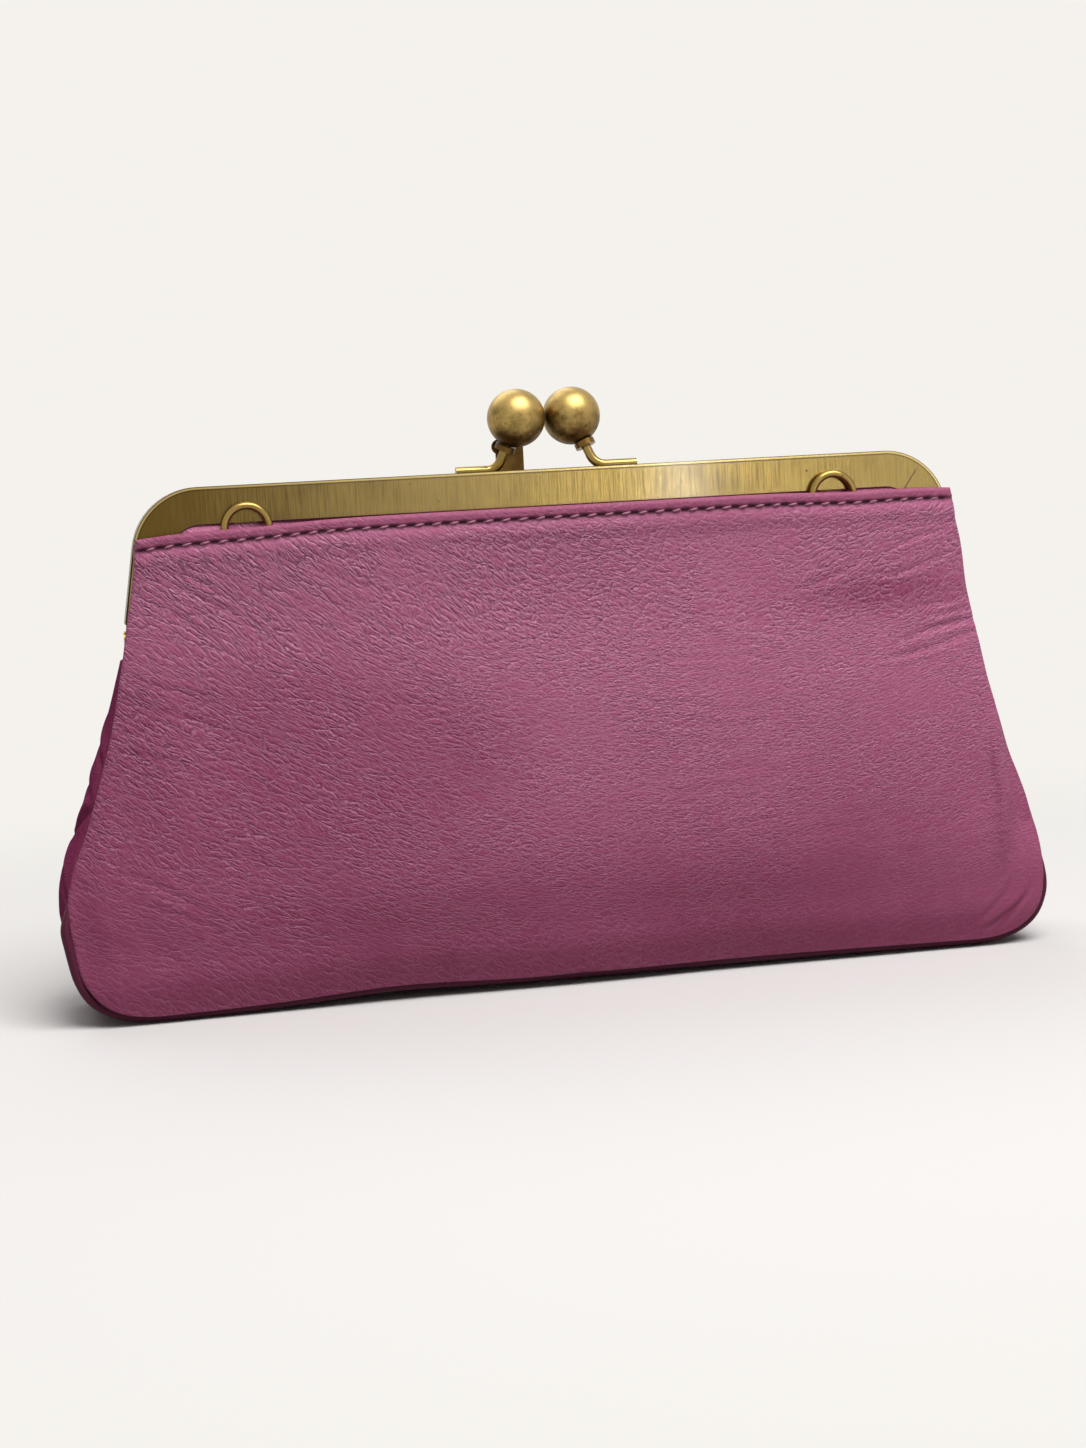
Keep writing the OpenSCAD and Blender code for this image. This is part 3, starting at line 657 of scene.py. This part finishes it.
def corner_rows(count=26):
    """Heights up the round bottom corner, from the base to the widest place, closest together low down."""
    turn = np.linspace(0, math.pi / 2, count)
    return WIDEST_Z - (WIDEST_Z - PANEL_LOW_Z) * np.cos(turn) ** (2 / CORNER_POWER)


def creases(x, z, folds):
    """Relief of pressed-in creases: each has two ends, a bow, a width and a depth."""
    relief = np.zeros_like(x)
    for (ax, az), (bx, bz), bow, width, deep in folds:
        length = math.hypot(bx - ax, bz - az)
        dx, dz = (bx - ax) / length, (bz - az) / length
        t = ((x - ax) * dx + (z - az) * dz) / length
        inside = np.clip(t, 0, 1)
        side = (z - az) * dx - (x - ax) * dz - bow * 4 * inside * (1 - inside)
        fade = np.sin(math.pi * inside) ** 0.7
        groove = np.exp(-((side / width) ** 2))
        swelling = np.exp(-(((side - 1.7 * width) / width) ** 2))
        relief -= deep * fade * (groove - 0.5 * swelling)
    return relief


def hide_map(x, z):
    """Place on the hide, whose grain falls to the right on the left side and climbs on the right."""
    along = np.linspace(-140, 140, 281)
    slope = mix(-0.80, 0.36, eased(share(along, -65, 100)))
    fall = np.interp(x, along, np.cumsum(slope))
    return np.stack([x, z - fall * mix(0.65, 1.0, share(z, 15, 85))], -1)


def hide_relief(x, z, seed):
    """Soft waves and drawn wrinkles of slack leather, in millimetres."""
    flow = hide_map(x, z)[..., 1]
    waves = 0.8 * random_heights(x / 40 + 9, z / 30 + 5, seed)
    drawn = random_heights(x / 15 + 3, flow / 4.2 + 7, seed + 1)
    wrinkles = (1 - np.abs(drawn)) ** 4 * 0.16
    where = share(random_heights(x / 38 + 2, z / 26 + 4, seed + 2), -0.25, 0.5) * share(z, 18, 40)
    return waves + wrinkles * where


def tone_and_painted_shade(x, z):
    """Painted shade in the leather's colour, 0 to 1: darker low down, on the left, at the upper right and by
    the left edge, with a little less of it low on the right.
    """
    low = share(z, 112, 26)
    left = share(x, 0, -60) * hump(z, 64, 19)
    upper_right = 0.8 * hump(x, 84, 24) * hump(z, 91.5, 5)
    edge = 0.35 * share(x, -108, -121) * share(z, 64, 46)
    pale = 0.2 * share(x, 70, 105) * hump(z, 24, 14)
    return np.clip(0.95 * low**1.1 + 1.1 * left + upper_right + edge - pale, 0, 1)


# The pocket's pressed-in creases: both ends as x and z, bow, width and depth
POCKET_CREASES = [
    # the fold that runs in from the right edge at the hinge, and its neighbours
    ((111, 83.0), (86, 78.4), -1.0, 0.8, 0.7),
    ((110, 80.4), (82, 74.6), 0.8, 0.7, 0.5),
    ((109, 85.4), (93, 83.6), -0.6, 0.6, 0.4),
    ((108, 89.0), (90, 87.4), 0.6, 0.6, 0.3),
    ((104, 101.5), (80, 95.5), 1.5, 0.8, 0.36),
    ((103, 106.0), (84, 101.0), -1.2, 0.7, 0.32),
    ((80, 101.0), (58, 93.0), 1.2, 0.8, 0.28),
    # drawn lines under the hem on the left
    ((-101, 106), (-74, 92), 1.4, 0.7, 0.24),
    ((-97, 108), (-78, 99), 0.8, 0.6, 0.22),
    ((-103, 101), (-84, 89), 1.0, 0.6, 0.24),
    ((-70, 108), (-40, 97), 1.6, 0.9, 0.12),
    # crossing lines down the left side
    ((-108, 84), (-84, 76), -1.2, 0.8, 0.24),
    ((-110, 77), (-80, 66), 1.2, 0.8, 0.26),
    ((-113, 66), (-88, 58), 0.8, 0.8, 0.20),
    ((-113, 38), (-84, 22), 2.0, 0.8, 0.22),
    ((-108, 30), (-80, 17), 1.4, 0.7, 0.18),
    ((-116, 22), (-96, 12), 2.2, 0.7, 0.18),
    # fan at the lower right corner, and two lines above it
    ((105, 5), (118, 13.5), -0.8, 0.6, 0.5),
    ((109, 5), (119.5, 16), -0.8, 0.6, 0.5),
    ((103, 7), (116, 19), -1.0, 0.7, 0.34),
    ((113, 40), (119, 22), -0.8, 0.6, 0.3),
    ((115, 46), (120, 30), -0.6, 0.6, 0.3),
]


def front_edge_form(x, z):
    """On the right the leather turns back beyond a soft ridge; on the left it swells, then rolls in."""
    ridge_x = 111.3 + 1.6 * share(z, 24, 38) + 1.4 * share(z, 50, 60)
    up = eased(share(z, 18, 34)) * eased(share(z, 74, 48))
    beyond = share(x, ridge_x, ridge_x + 6)
    ridge = 1.3 * hump(x, ridge_x, 1.8) - 2.2 * eased(beyond)
    right = up * ridge - 0.7 * hump(x, ridge_x - 9, 5) * hump(z, 44, 18)
    swelling = hump(z, 58, 26) * (0.9 * hump(x, -99, 8) - 0.7 * hump(x, -80, 10))
    rolled = 1.0 * hump(z, 9, 6) - 1.2 * eased(share(x, -113, -121.5)) * share(z, 64, 46)
    return right + swelling + rolled


def pocket_leather(finish):
    """The outer leather of the front: one sheet from the bottom seam to the turned and stitched hem."""
    us = shares_across(2 * HALF_W, 0.72)
    low_u, low_z = np.meshgrid(us, np.concatenate([corner_rows(), np.linspace(WIDEST_Z, SPLIT_Z, 92)[1:]]))
    top_u, top_share = np.meshgrid(us, np.linspace(0, 1, 44)[1:])
    top_z = mix(SPLIT_Z, mouth_z(top_u) - HEM_H, top_share)
    hem_rows = np.concatenate([np.linspace(0, 0.62, 8), [0.72, 0.82, 0.9, 0.96, 1.0]])
    hem_u, hem_share = np.meshgrid(us, hem_rows)
    hem_z = mix(mouth_z(hem_u) - HEM_H + 0.25, mouth_z(hem_u), hem_share)
    u = np.concatenate([low_u, top_u, hem_u])
    z = np.concatenate([low_z, top_z, hem_z])
    from_mouth = mouth_z(u) - z
    right, left = share(u, 0.0, 1.0) ** 2, share(u, 0.0, -1.0) ** 2
    flare = 1.5 * hump(z, 103, 12) + 1.0 * share(from_mouth, 8, 2)
    x = u * outline_x(z) + right * flare + 0.5 * left * hump(z, 105, 9)
    x = x + u * 0.9 * share(z, 36, 18)
    hem = eased(share(from_mouth, HEM_H + 0.35, HEM_H - 0.35))
    groove = hump(from_mouth, HEM_H + 0.1, 0.5)
    pitch = np.abs(np.mod(x / STITCH_PITCH, 1.0) - 0.5) * 2
    puckers = 0.10 * random_heights(x / 1.6, z / 30, 5) * share(from_mouth, 9, 2)
    calm = share(from_mouth, 1.5, 12)
    relief = (hide_relief(x, z, 11) + creases(x, z, POCKET_CREASES)) * calm + front_edge_form(x, z)
    bulge = 0.45 * hump(from_mouth, HEM_H + 3.0, 2.2)
    depth = pocket_y(u, z) + LEATHER_T + relief + bulge + HEM_EXTRA * hem + puckers * hem
    slit = share(pitch, 0.56, 0.38)
    depth -= groove * (GROOVE_DEEP + SLIT_DEEP * slit)
    overhang = SEAM_OVERHANG * share(z, OVERHANG_Z, PANEL_LOW_Z) ** 1.5
    grid = settled(np.stack([x, -depth, z - overhang], -1))
    smooth_low = mix(0.35, 0.85, share(z, 8, 34)) + 0.35 * share(z, 34, 78)
    smooth_low = smooth_low * mix(1.0, 0.62, share(x, 40, 100) * share(z, 60, 20))
    smooth_low = smooth_low * mix(1.0, 0.75, share(x, -70, -110) * share(z, 60, 30))
    fields = {"grain_share": smooth_low * mix(0.35, 1.0, share(from_mouth, HEM_H, HEM_H + 4)),
              # Painted shade in the stitch groove, deepest at the slits.
              "painted_hollow_shade": np.minimum(groove * (0.3 + 0.95 * slit), 1.0),
              # Painted shade, darker still on the hem band.
              "tone_and_painted_shade": np.clip(tone_and_painted_shade(x, z) + 0.55 * share(from_mouth, 3.2, 2.2), 0, 1)}
    thickness = LEATHER_T + (HEM_EXTRA + 0.5) * hem - 0.3 * groove
    made = shell("pocket_leather", grid, thickness, (0, -1, 0), finish, hide_map(x, z), fields)
    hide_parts("pocket_panel", "pocket_upper")
    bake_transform(made)
    return made


def body_leather(name, side, nodes, finish, seed):
    """A body panel from the bottom seam up into the channel: side is -1 for the front and 1 for the rear."""
    arch = CORNER_Z + CHANNEL_R * np.sin(np.linspace(LEG_SPLAY, math.pi / 2, 12))
    rows = np.concatenate([corner_rows(), np.linspace(WIDEST_Z, SPLIT_Z, 70)[1:],
                           np.linspace(SPLIT_Z, CHANNEL_TURN_Z, 30)[1:], arch[1:]])
    u, z = np.meshgrid(shares_across(2 * HALF_W, 0.95), rows)
    x = u * panel_x(z)
    free = share(z, ENTRY_Z, SPLIT_Z - 20) * share(1 - np.abs(u), 0.0, 0.1)
    relief = hide_relief(x, z, seed) * free
    if side < 0:
        # Beside the middle it stands out under the frame, where a strip of it shows over the pocket's hem
        rise = share(z, BAR_LOW_Z - 9, BAR_LOW_Z - 4) * share(z, BAR_LOW_Z - 0.2, BAR_LOW_Z - 1.6)
        relief = -0.15 + 2.5 * rise * share(np.abs(x), 50, 74) * share(np.abs(x), 93, 89)
    grid = settled(np.stack([x, side * (panel_y(u, z) + relief), z], -1))
    thickness = mix(LEATHER_T, SKIVED_T, share(z, SPLIT_Z, LEG_END_Z))
    fields = {"grain_share": np.full_like(x, 0.9), "painted_hollow_shade": np.zeros_like(x),
              # Painted shade, darker low down.
              "tone_and_painted_shade": tone_and_painted_shade(0 * x, z)}
    made = shell(name, grid, thickness, (0, side, 0), finish, hide_map(x * -side, z), fields)
    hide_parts(*nodes)
    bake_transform(made)
    return made


def seam_line(levels):
    """The seam from the left side's top, round the bottom, to the right side's: x, z and the way out."""
    flat = np.linspace(0, FLAT_X, 60)[:-1]
    x = np.concatenate([flat, outline_x(levels)])
    z = np.concatenate([np.full(len(flat), PANEL_LOW_Z), levels])
    x, z = np.concatenate([-x[:0:-1], x]), np.concatenate([z[:0:-1], z])
    dx, dz = np.gradient(x), np.gradient(z)
    length = np.hypot(dx, dz)
    return x, z, dz / length, -dx / length


def run_along(x, z):
    """How far each place of a line lies from its start."""
    return np.concatenate([[0], np.cumsum(np.hypot(np.diff(x), np.diff(z)))])


# The folds across the gusset's sides: height, slant and depth
GUSSET_FOLDS = [(66.0, 5.0, 1.1), (46.0, -6.0, 1.2), (37.0, 7.0, 0.9), (56.0, 3.0, 0.5)]


def gusset_leather(finish):
    """The strip that joins front and rear: flat below, puffed out on the left, drawn in on the right."""
    levels = np.concatenate([corner_rows(34), np.linspace(WIDEST_Z, SPLIT_Z, 96)[1:]])
    x, z, nx, nz = seam_line(levels)
    w, zz = np.meshgrid(shares_across(2 * SEAM_DEPTH, 0.8), z)
    side = eased(share(zz, PANEL_LOW_Z, PIPING_END_Z))
    left = (np.broadcast_to(x[:, None], w.shape) < 0).astype(float)
    puff = GUSSET_PUFF * (1 - w**2) * share(zz, SPLIT_Z, 60) * mix(-0.9, 1.3, left)
    fold = np.zeros_like(w)
    for middle, slant, deep in GUSSET_FOLDS:
        across = zz - (middle + slant * w)
        fold -= deep * np.exp(-((across / 1.2) ** 2)) - 0.45 * deep * np.exp(-(((across - 3.0) / 2.0) ** 2))
    out = mix(PANEL_LOW_Z, puff + fold * mix(0.45, 0.8, left) * side * (1 - w**6), side)
    out = np.where(zz <= PANEL_LOW_Z + 1e-6, PANEL_LOW_Z, out)
    half = seam_y(zz) - LAYER_GAP * share(zz, WIDEST_Z, SPLIT_Z)
    grid = settled(np.stack([x[:, None] + nx[:, None] * out, w * half, zz + nz[:, None] * out], -1))
    uv = np.stack([w * half, np.broadcast_to(run_along(x, z)[:, None], w.shape)], -1)
    fields = {"grain_share": np.full_like(w, 0.8), "painted_hollow_shade": np.zeros_like(w),
              "tone_and_painted_shade": np.full_like(w, 0.7)}
    made = shell("gusset_leather", grid, LEATHER_T, grid - GUSSET_HEART, finish, uv, fields)
    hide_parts("side_gusset")
    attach(made, "bag_body")
    return made


def piping_cord(name, side, stack, node, finish):
    """Covered cord along the bottom seam, running out between panel and gusset on both sides."""
    levels = np.concatenate([corner_rows(34), np.linspace(WIDEST_Z, PIPING_END_Z, 14)[1:]])
    x, z, nx, nz = seam_line(levels)
    run = run_along(x, z)
    from_end = np.where(x < 0, run, (run[-1] - run) * 0.55)
    runs_in = eased(share(from_end, 12, 2))
    tuck = 0.7 + 0.5 * hump(x, 8, 34) if side < 0 else 0 * x
    out = LAYER_GAP + PIPING_D / 2 - 2.6 * runs_in
    y = side * (seam_y(z) + LAYER_GAP + max(stack, PIPING_D) / 2 - tuck - 1.0 * runs_in)
    path = settled(np.stack([x + nx * out, y, z + nz * out], -1))
    radius = PIPING_D / 2 * mix(0.3, 1.0, np.sqrt(share(from_end, 0, 10)))
    points, faces, uv = tube(path, radius, 18, (0, 1, 0))
    flat = np.zeros(len(points))
    fields = {"grain_share": flat + 0.45, "painted_hollow_shade": flat, "tone_and_painted_shade": flat + 0.3}
    made = add_piece(name, points, faces, finish, uv, fields)
    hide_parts(node)
    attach(made, "bag_body")
    return made


def hem_stitches(finish):
    """Saddle stitches along the hem: each dips into its holes at both ends and leans a little."""
    points, faces, maps = [], [], []
    count = int(2 * (FRAME_HALF_W - 3) / STITCH_PITCH)
    rng = np.random.default_rng(3)
    for i in range(count + 1):
        middle = (i - count / 2) * STITCH_PITCH
        t = np.linspace(-0.5, 0.5, 9)
        x = middle + t * (STITCH_LEN + rng.uniform(-0.15, 0.15))
        u = x / outline_x(np.full_like(x, HEM_MIDDLE_Z))
        z = mouth_z(u) - HEM_H - 0.05 + t * STITCH_LEAN
        lift = np.cos(t * math.pi) ** 0.5 * STITCH_ARCH - STITCH_SINK
        y = -(pocket_y(u, z) + LEATHER_T + 0.1 + lift)
        path = np.stack([x, y, z], -1)
        radius = THREAD_R * np.sqrt(np.maximum(np.cos(t * math.pi * 0.92), 0.05))
        ring_points, ring_faces, ring_map = tube(path, radius, 10, (0, 0, 1))
        first = sum(len(earlier) for earlier in points)
        faces += [[first + corner for corner in face] for face in ring_faces]
        points.append(ring_points)
        maps.append(ring_map)
    made = add_piece("hem_stitches", np.concatenate(points), faces, finish, np.concatenate(maps))
    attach(made, "front_frame")
    return made


def lining_cloth(name, side, nodes, finish):
    """The cotton inside a body panel, a little slack, up to the frame's lower edge."""
    rows = np.concatenate([corner_rows()[3:], np.linspace(WIDEST_Z, SPLIT_Z, 40)[1:],
                           np.linspace(SPLIT_Z, BAR_LOW_Z - 2 * LAYER_GAP, 22)[1:]])
    u, z = np.meshgrid(shares_across(2 * HALF_W, 2.4, (0.0, 0.1, 0.3)), rows)
    inset = mix(LEATHER_T, FACE_W, eased(share(z, WIDEST_Z, SPLIT_Z))) + 2 * LAYER_GAP
    x = u * (outline_x(z) - inset)
    slack = 0.25 * random_heights(x / 11 + 4, z / 20 + 8, 21) * share(1 - np.abs(u), 0, 0.1)
    back = mix(LEATHER_T, SKIVED_T, share(z, SPLIT_Z, LEG_END_Z)) + LAYER_GAP + 0.3
    grid = settled(np.stack([x, side * (panel_y(u, z) - back - np.abs(slack)), z], -1))
    made = shell(name, grid, LINING_T, (0, side, 0), finish, np.stack([x, z], -1))
    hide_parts(*nodes)
    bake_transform(made)
    return made


def gusset_lining_cloth(finish):
    """The cotton inside the gusset: over the board at the bottom, inside the leather's puff at the sides."""
    levels = np.concatenate([corner_rows(20), np.linspace(WIDEST_Z, SPLIT_Z, 40)[1:]])
    x, z, nx, nz = seam_line(levels)
    w, zz = np.meshgrid(shares_across(2 * SEAM_DEPTH, 1.6, (0.0, 0.1, 0.3)), z)
    low = PANEL_LOW_Z - LEATHER_T - BOARD_T - 2 * LAYER_GAP
    beside = -LEATHER_T - 2 * LAYER_GAP - GUSSET_PUFF
    out = mix(low, beside, eased(share(zz, PANEL_LOW_Z, PIPING_END_Z)))
    half = seam_y(zz) - LAYER_GAP * share(zz, WIDEST_Z, SPLIT_Z) - LINING_T - LAYER_GAP
    grid = settled(np.stack([x[:, None] + nx[:, None] * out, w * half, zz + nz[:, None] * out], -1))
    uv = np.stack([w * half, np.broadcast_to(run_along(x, z)[:, None], w.shape)], -1)
    made = shell("gusset_lining_cloth", grid, LINING_T, grid - GUSSET_HEART, finish, uv)
    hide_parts("gusset_lining")
    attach(made, "bag_body")
    return made


def base_board(finish):
    """Stiff board between gusset and lining, bowed with the base."""
    roundings = (0.0, 0.2, 0.5)
    us = shares_across(2 * FLAT_X, 4.0, roundings)
    u, v = np.meshgrid(us, shares_across(2 * SEAM_DEPTH, 3.0, roundings))
    square = np.maximum(np.abs(u) - 0.98, 0) * 18
    half_y = (SEAM_DEPTH - 2 * LAYER_GAP) * np.sqrt(np.maximum(0.0, 1 - square**2))
    top = LEATHER_T + LAYER_GAP + BOARD_T
    grid = settled(np.stack([u * (FLAT_X - LAYER_GAP), v * half_y, np.full_like(u, top)], -1))
    made = shell("bowed_base_board", grid, BOARD_T, (0, 0, 1), finish, grid[..., :2])
    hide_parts("base_board")
    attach(made, "bag_body")
    return made


# Floor, lights and camera
BACKDROP = tone(245, 242, 237)
FLOOR_SEEN = tone(219, 217, 215)
FLOOR_LIT = tone(150, 148, 146)
SKY_FILL = (1.0, 0.985, 0.97, 1.0)
SKY_STRENGTH = 0.18


def floor_finish():
    """Pale paper floor: it keeps the shadow, and fades to the backdrop's colour further out."""
    f = Finish("pale_floor", Roughness=1.0, Specular_IOR_Level=0.0)
    rays = f.tree.nodes.new("ShaderNodeLightPath").outputs
    camera_ray, glossy_ray = Wire(f, rays["Is Camera Ray"]), Wire(f, rays["Is Glossy Ray"])
    seen = camera_ray.at_least(glossy_ray)
    f.feed(f.shader.inputs["Base Color"], f.blended(FLOOR_LIT, FLOOR_SEEN, seen))
    place = f.node("TexCoord", {}, output=3)
    far = f.node("VectorMath", {"operation": "LENGTH"}, {0: place}, output=1).between(0.1, 0.42)
    glow = f.node("Emission", {}, {"Color": BACKDROP, "Strength": 1.0})
    cover = f.node("MixShader", {}, {0: seen * far, 1: Wire(f, f.shader.outputs[0]), 2: glow})
    output = next(n for n in f.tree.nodes if n.type == "OUTPUT_MATERIAL")
    f.tree.links.new(cover.socket, output.inputs["Surface"])
    return f.material


def floor():
    bpy.ops.mesh.primitive_circle_add(vertices=96, radius=6.0, fill_type="NGON", location=(0, 0, -0.00005))
    made = bpy.context.object
    made.name = "floor"
    made.data.materials.append(floor_finish())


# Name, place, aim, size, watts and colour of each light
WHITE = (1, 1, 1)
LIGHTS = (
    ("sky_box", (0.27, -0.62, 1.25), (0, 0, 0.06), (1.0, 0.9), 23.0, WHITE),
    ("back_box", (-0.25, 0.75, 1.0), (0, 0, 0.05), (1.0, 0.8), 4.8, WHITE),
    ("window", (0.395, -1.37, 0.10), (0, 0, 0.10), (0.036, 0.45), 0.44, WHITE),
    ("bright_wall", (0.85, -1.25, 0.35), (0, 0, 0.10), (0.5, 0.6), 0.85, (1.0, 0.99, 0.97)))


def area_light(name, place, aim, size, watts, colour):
    data = bpy.data.lights.new(name, "AREA")
    data.shape = "RECTANGLE"
    data.size, data.size_y = size
    data.energy = watts
    data.color = colour
    made = bpy.data.objects.new(name, data)
    made.location = place
    made.rotation_mode = "QUATERNION"
    made.rotation_quaternion = (Vector(aim) - Vector(place)).to_track_quat("-Z", "Y")
    bpy.context.scene.collection.objects.link(made)


def studio():
    """The lights, and a backdrop that the camera, reflections and transmission see as one plain colour."""
    for light in LIGHTS:
        area_light(*light)
    world = bpy.data.worlds.new("studio")
    bpy.context.scene.world = world
    world.use_nodes = True
    nodes, links = world.node_tree.nodes, world.node_tree.links
    nodes.clear()
    rays = nodes.new("ShaderNodeLightPath")
    seen, fill = nodes.new("ShaderNodeBackground"), nodes.new("ShaderNodeBackground")
    seen.inputs[0].default_value = BACKDROP
    fill.inputs[0].default_value = SKY_FILL
    fill.inputs[1].default_value = SKY_STRENGTH
    choose = nodes.new("ShaderNodeMixShader")
    either, any_ray = nodes.new("ShaderNodeMath"), nodes.new("ShaderNodeMath")
    either.operation = any_ray.operation = "MAXIMUM"
    links.new(rays.outputs["Is Camera Ray"], either.inputs[0])
    links.new(rays.outputs["Is Glossy Ray"], either.inputs[1])
    links.new(either.outputs[0], any_ray.inputs[0])
    links.new(rays.outputs["Is Transmission Ray"], any_ray.inputs[1])
    links.new(any_ray.outputs[0], choose.inputs[0])
    links.new(fill.outputs[0], choose.inputs[1])
    links.new(seen.outputs[0], choose.inputs[2])
    links.new(choose.outputs[0], nodes.new("ShaderNodeOutputWorld").inputs[0])


# The camera, at the photograph's place
IMAGE_H = 1448
CAMERA_FAR = 0.620
CAMERA_YAW = math.radians(11.31)
CAMERA_PITCH = math.radians(6.0)
CAMERA_ROLL = math.radians(3.0)
CAMERA_AIM = Vector((-0.00424, 0.0, 0.06327))
FOCAL_PIXELS = 2466.7


def camera():
    """A camera to the left of the bag and a little above it, rolled clockwise."""
    cp, sp = math.cos(CAMERA_PITCH), math.sin(CAMERA_PITCH)
    back = Vector((-math.sin(CAMERA_YAW) * cp, -math.cos(CAMERA_YAW) * cp, sp))
    right = Vector((math.cos(CAMERA_YAW), -math.sin(CAMERA_YAW), 0))
    up = back.cross(right)
    turned = right * math.cos(CAMERA_ROLL) - up * math.sin(CAMERA_ROLL)
    upright = right * math.sin(CAMERA_ROLL) + up * math.cos(CAMERA_ROLL)
    data = bpy.data.cameras.new("camera")
    data.sensor_width = 36.0
    data.lens = FOCAL_PIXELS / IMAGE_H * data.sensor_width
    data.clip_start, data.clip_end = 0.01, 50.0
    made = bpy.data.objects.new("camera", data)
    made.matrix_world = Matrix.Translation(CAMERA_AIM + back * CAMERA_FAR) @ Matrix(
        (turned, upright, back)).transposed().to_4x4()
    bpy.context.scene.collection.objects.link(made)
    bpy.context.scene.camera = made


def dress(finish, *names):
    """Gives carried-over parts of the frame their finish."""
    for name in names:
        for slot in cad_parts[name].material_slots:
            slot.material = finish


def ease_edges(width, *names):
    """Rounds the hard edges of sheet and turned parts, so that they catch the light."""
    for name in names:
        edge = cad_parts[name].modifiers.new("eased_edges", "BEVEL")
        edge.width = width * MM
        edge.segments = 3
        edge.angle_limit = math.radians(40)
        edge.harden_normals = True


# The parts of the frame that are shown as they are
FRAME_NODES = ["front_frame", "rear_frame"]
BALL_NODES = ["front_clasp_ball", "rear_clasp_ball"]
ROUND_NODES = ["left_hinge_rivet", "right_hinge_rivet", "front_clasp_rod", "rear_clasp_rod",
               "left_strap_ring", "right_strap_ring"]
DARK_NODES = ["front_ball_collar", "rear_ball_collar", "clasp_stop_plate", "left_ring_lug", "right_ring_lug"]


def build():
    # Each leather's colours: body, deep for painted shade and tone, shade in the groove and slits, painted
    # highlight.
    skin = leather_finish("plum_leather", tone(172, 95, 128), tone(137, 62, 93), tone(52, 18, 34),
                          tone(224, 160, 190))
    dark_skin = leather_finish("piping_leather", tone(84, 28, 52), tone(66, 20, 38), tone(40, 12, 26),
                               tone(130, 66, 92), 0.5)
    side_skin = leather_finish("gusset_leather", tone(154, 66, 106), tone(126, 46, 80), tone(40, 12, 26),
                               tone(190, 110, 146), 0.7, shine=0.0, rough=0.8)
    pocket_leather(skin)
    body_leather("front_leather", -1, ("front_panel", "front_panel_upper"), skin, 31)
    body_leather("rear_leather", 1, ("rear_panel", "rear_panel_upper"), skin, 41)
    gusset_leather(side_skin)
    piping_cord("front_piping_cord", -1, 2 * LEATHER_T + LAYER_GAP, "front_piping", dark_skin)
    piping_cord("rear_piping_cord", 1, LEATHER_T, "rear_piping", dark_skin)
    hem_stitches(thread_finish("hem_thread"))
    cotton = cloth_finish("lining_cotton", tone(128, 108, 118), tone(88, 70, 80))
    lining_cloth("front_lining_cloth", -1, ("front_lining", "front_lining_upper"), cotton)
    lining_cloth("rear_lining_cloth", 1, ("rear_lining", "rear_lining_upper"), cotton)
    gusset_lining_cloth(cotton)
    brushed = brass_finish("brushed_brass", tone(158, 134, 70), tone(96, 76, 32), patina=0.3, rough=0.17,
                           rim=True)
    rubbed = brass_finish("rubbed_brass", tone(150, 126, 72), tone(76, 56, 28), streaks=0.1, rough=0.24)
    bronze = brass_finish("dark_bronze", tone(112, 84, 42), tone(40, 28, 14), streaks=0.2, patina=0.9,
                          rough=0.3)
    dress(brushed, *FRAME_NODES)
    dress(rubbed, *ROUND_NODES)
    dress(ball_finish("handled_brass"), *BALL_NODES)
    dress(bronze, *DARK_NODES)
    ease_edges(0.2, *FRAME_NODES, "clasp_stop_plate")
    ease_edges(0.4, "front_ball_collar", "rear_ball_collar")
    kraft = paper_finish("kraft_paper")
    base_board(kraft)
    dress(kraft, "front_wedge_cord", "rear_wedge_cord")


build()
floor()
studio()
camera()
bpy.context.scene.view_settings.view_transform = "Standard"
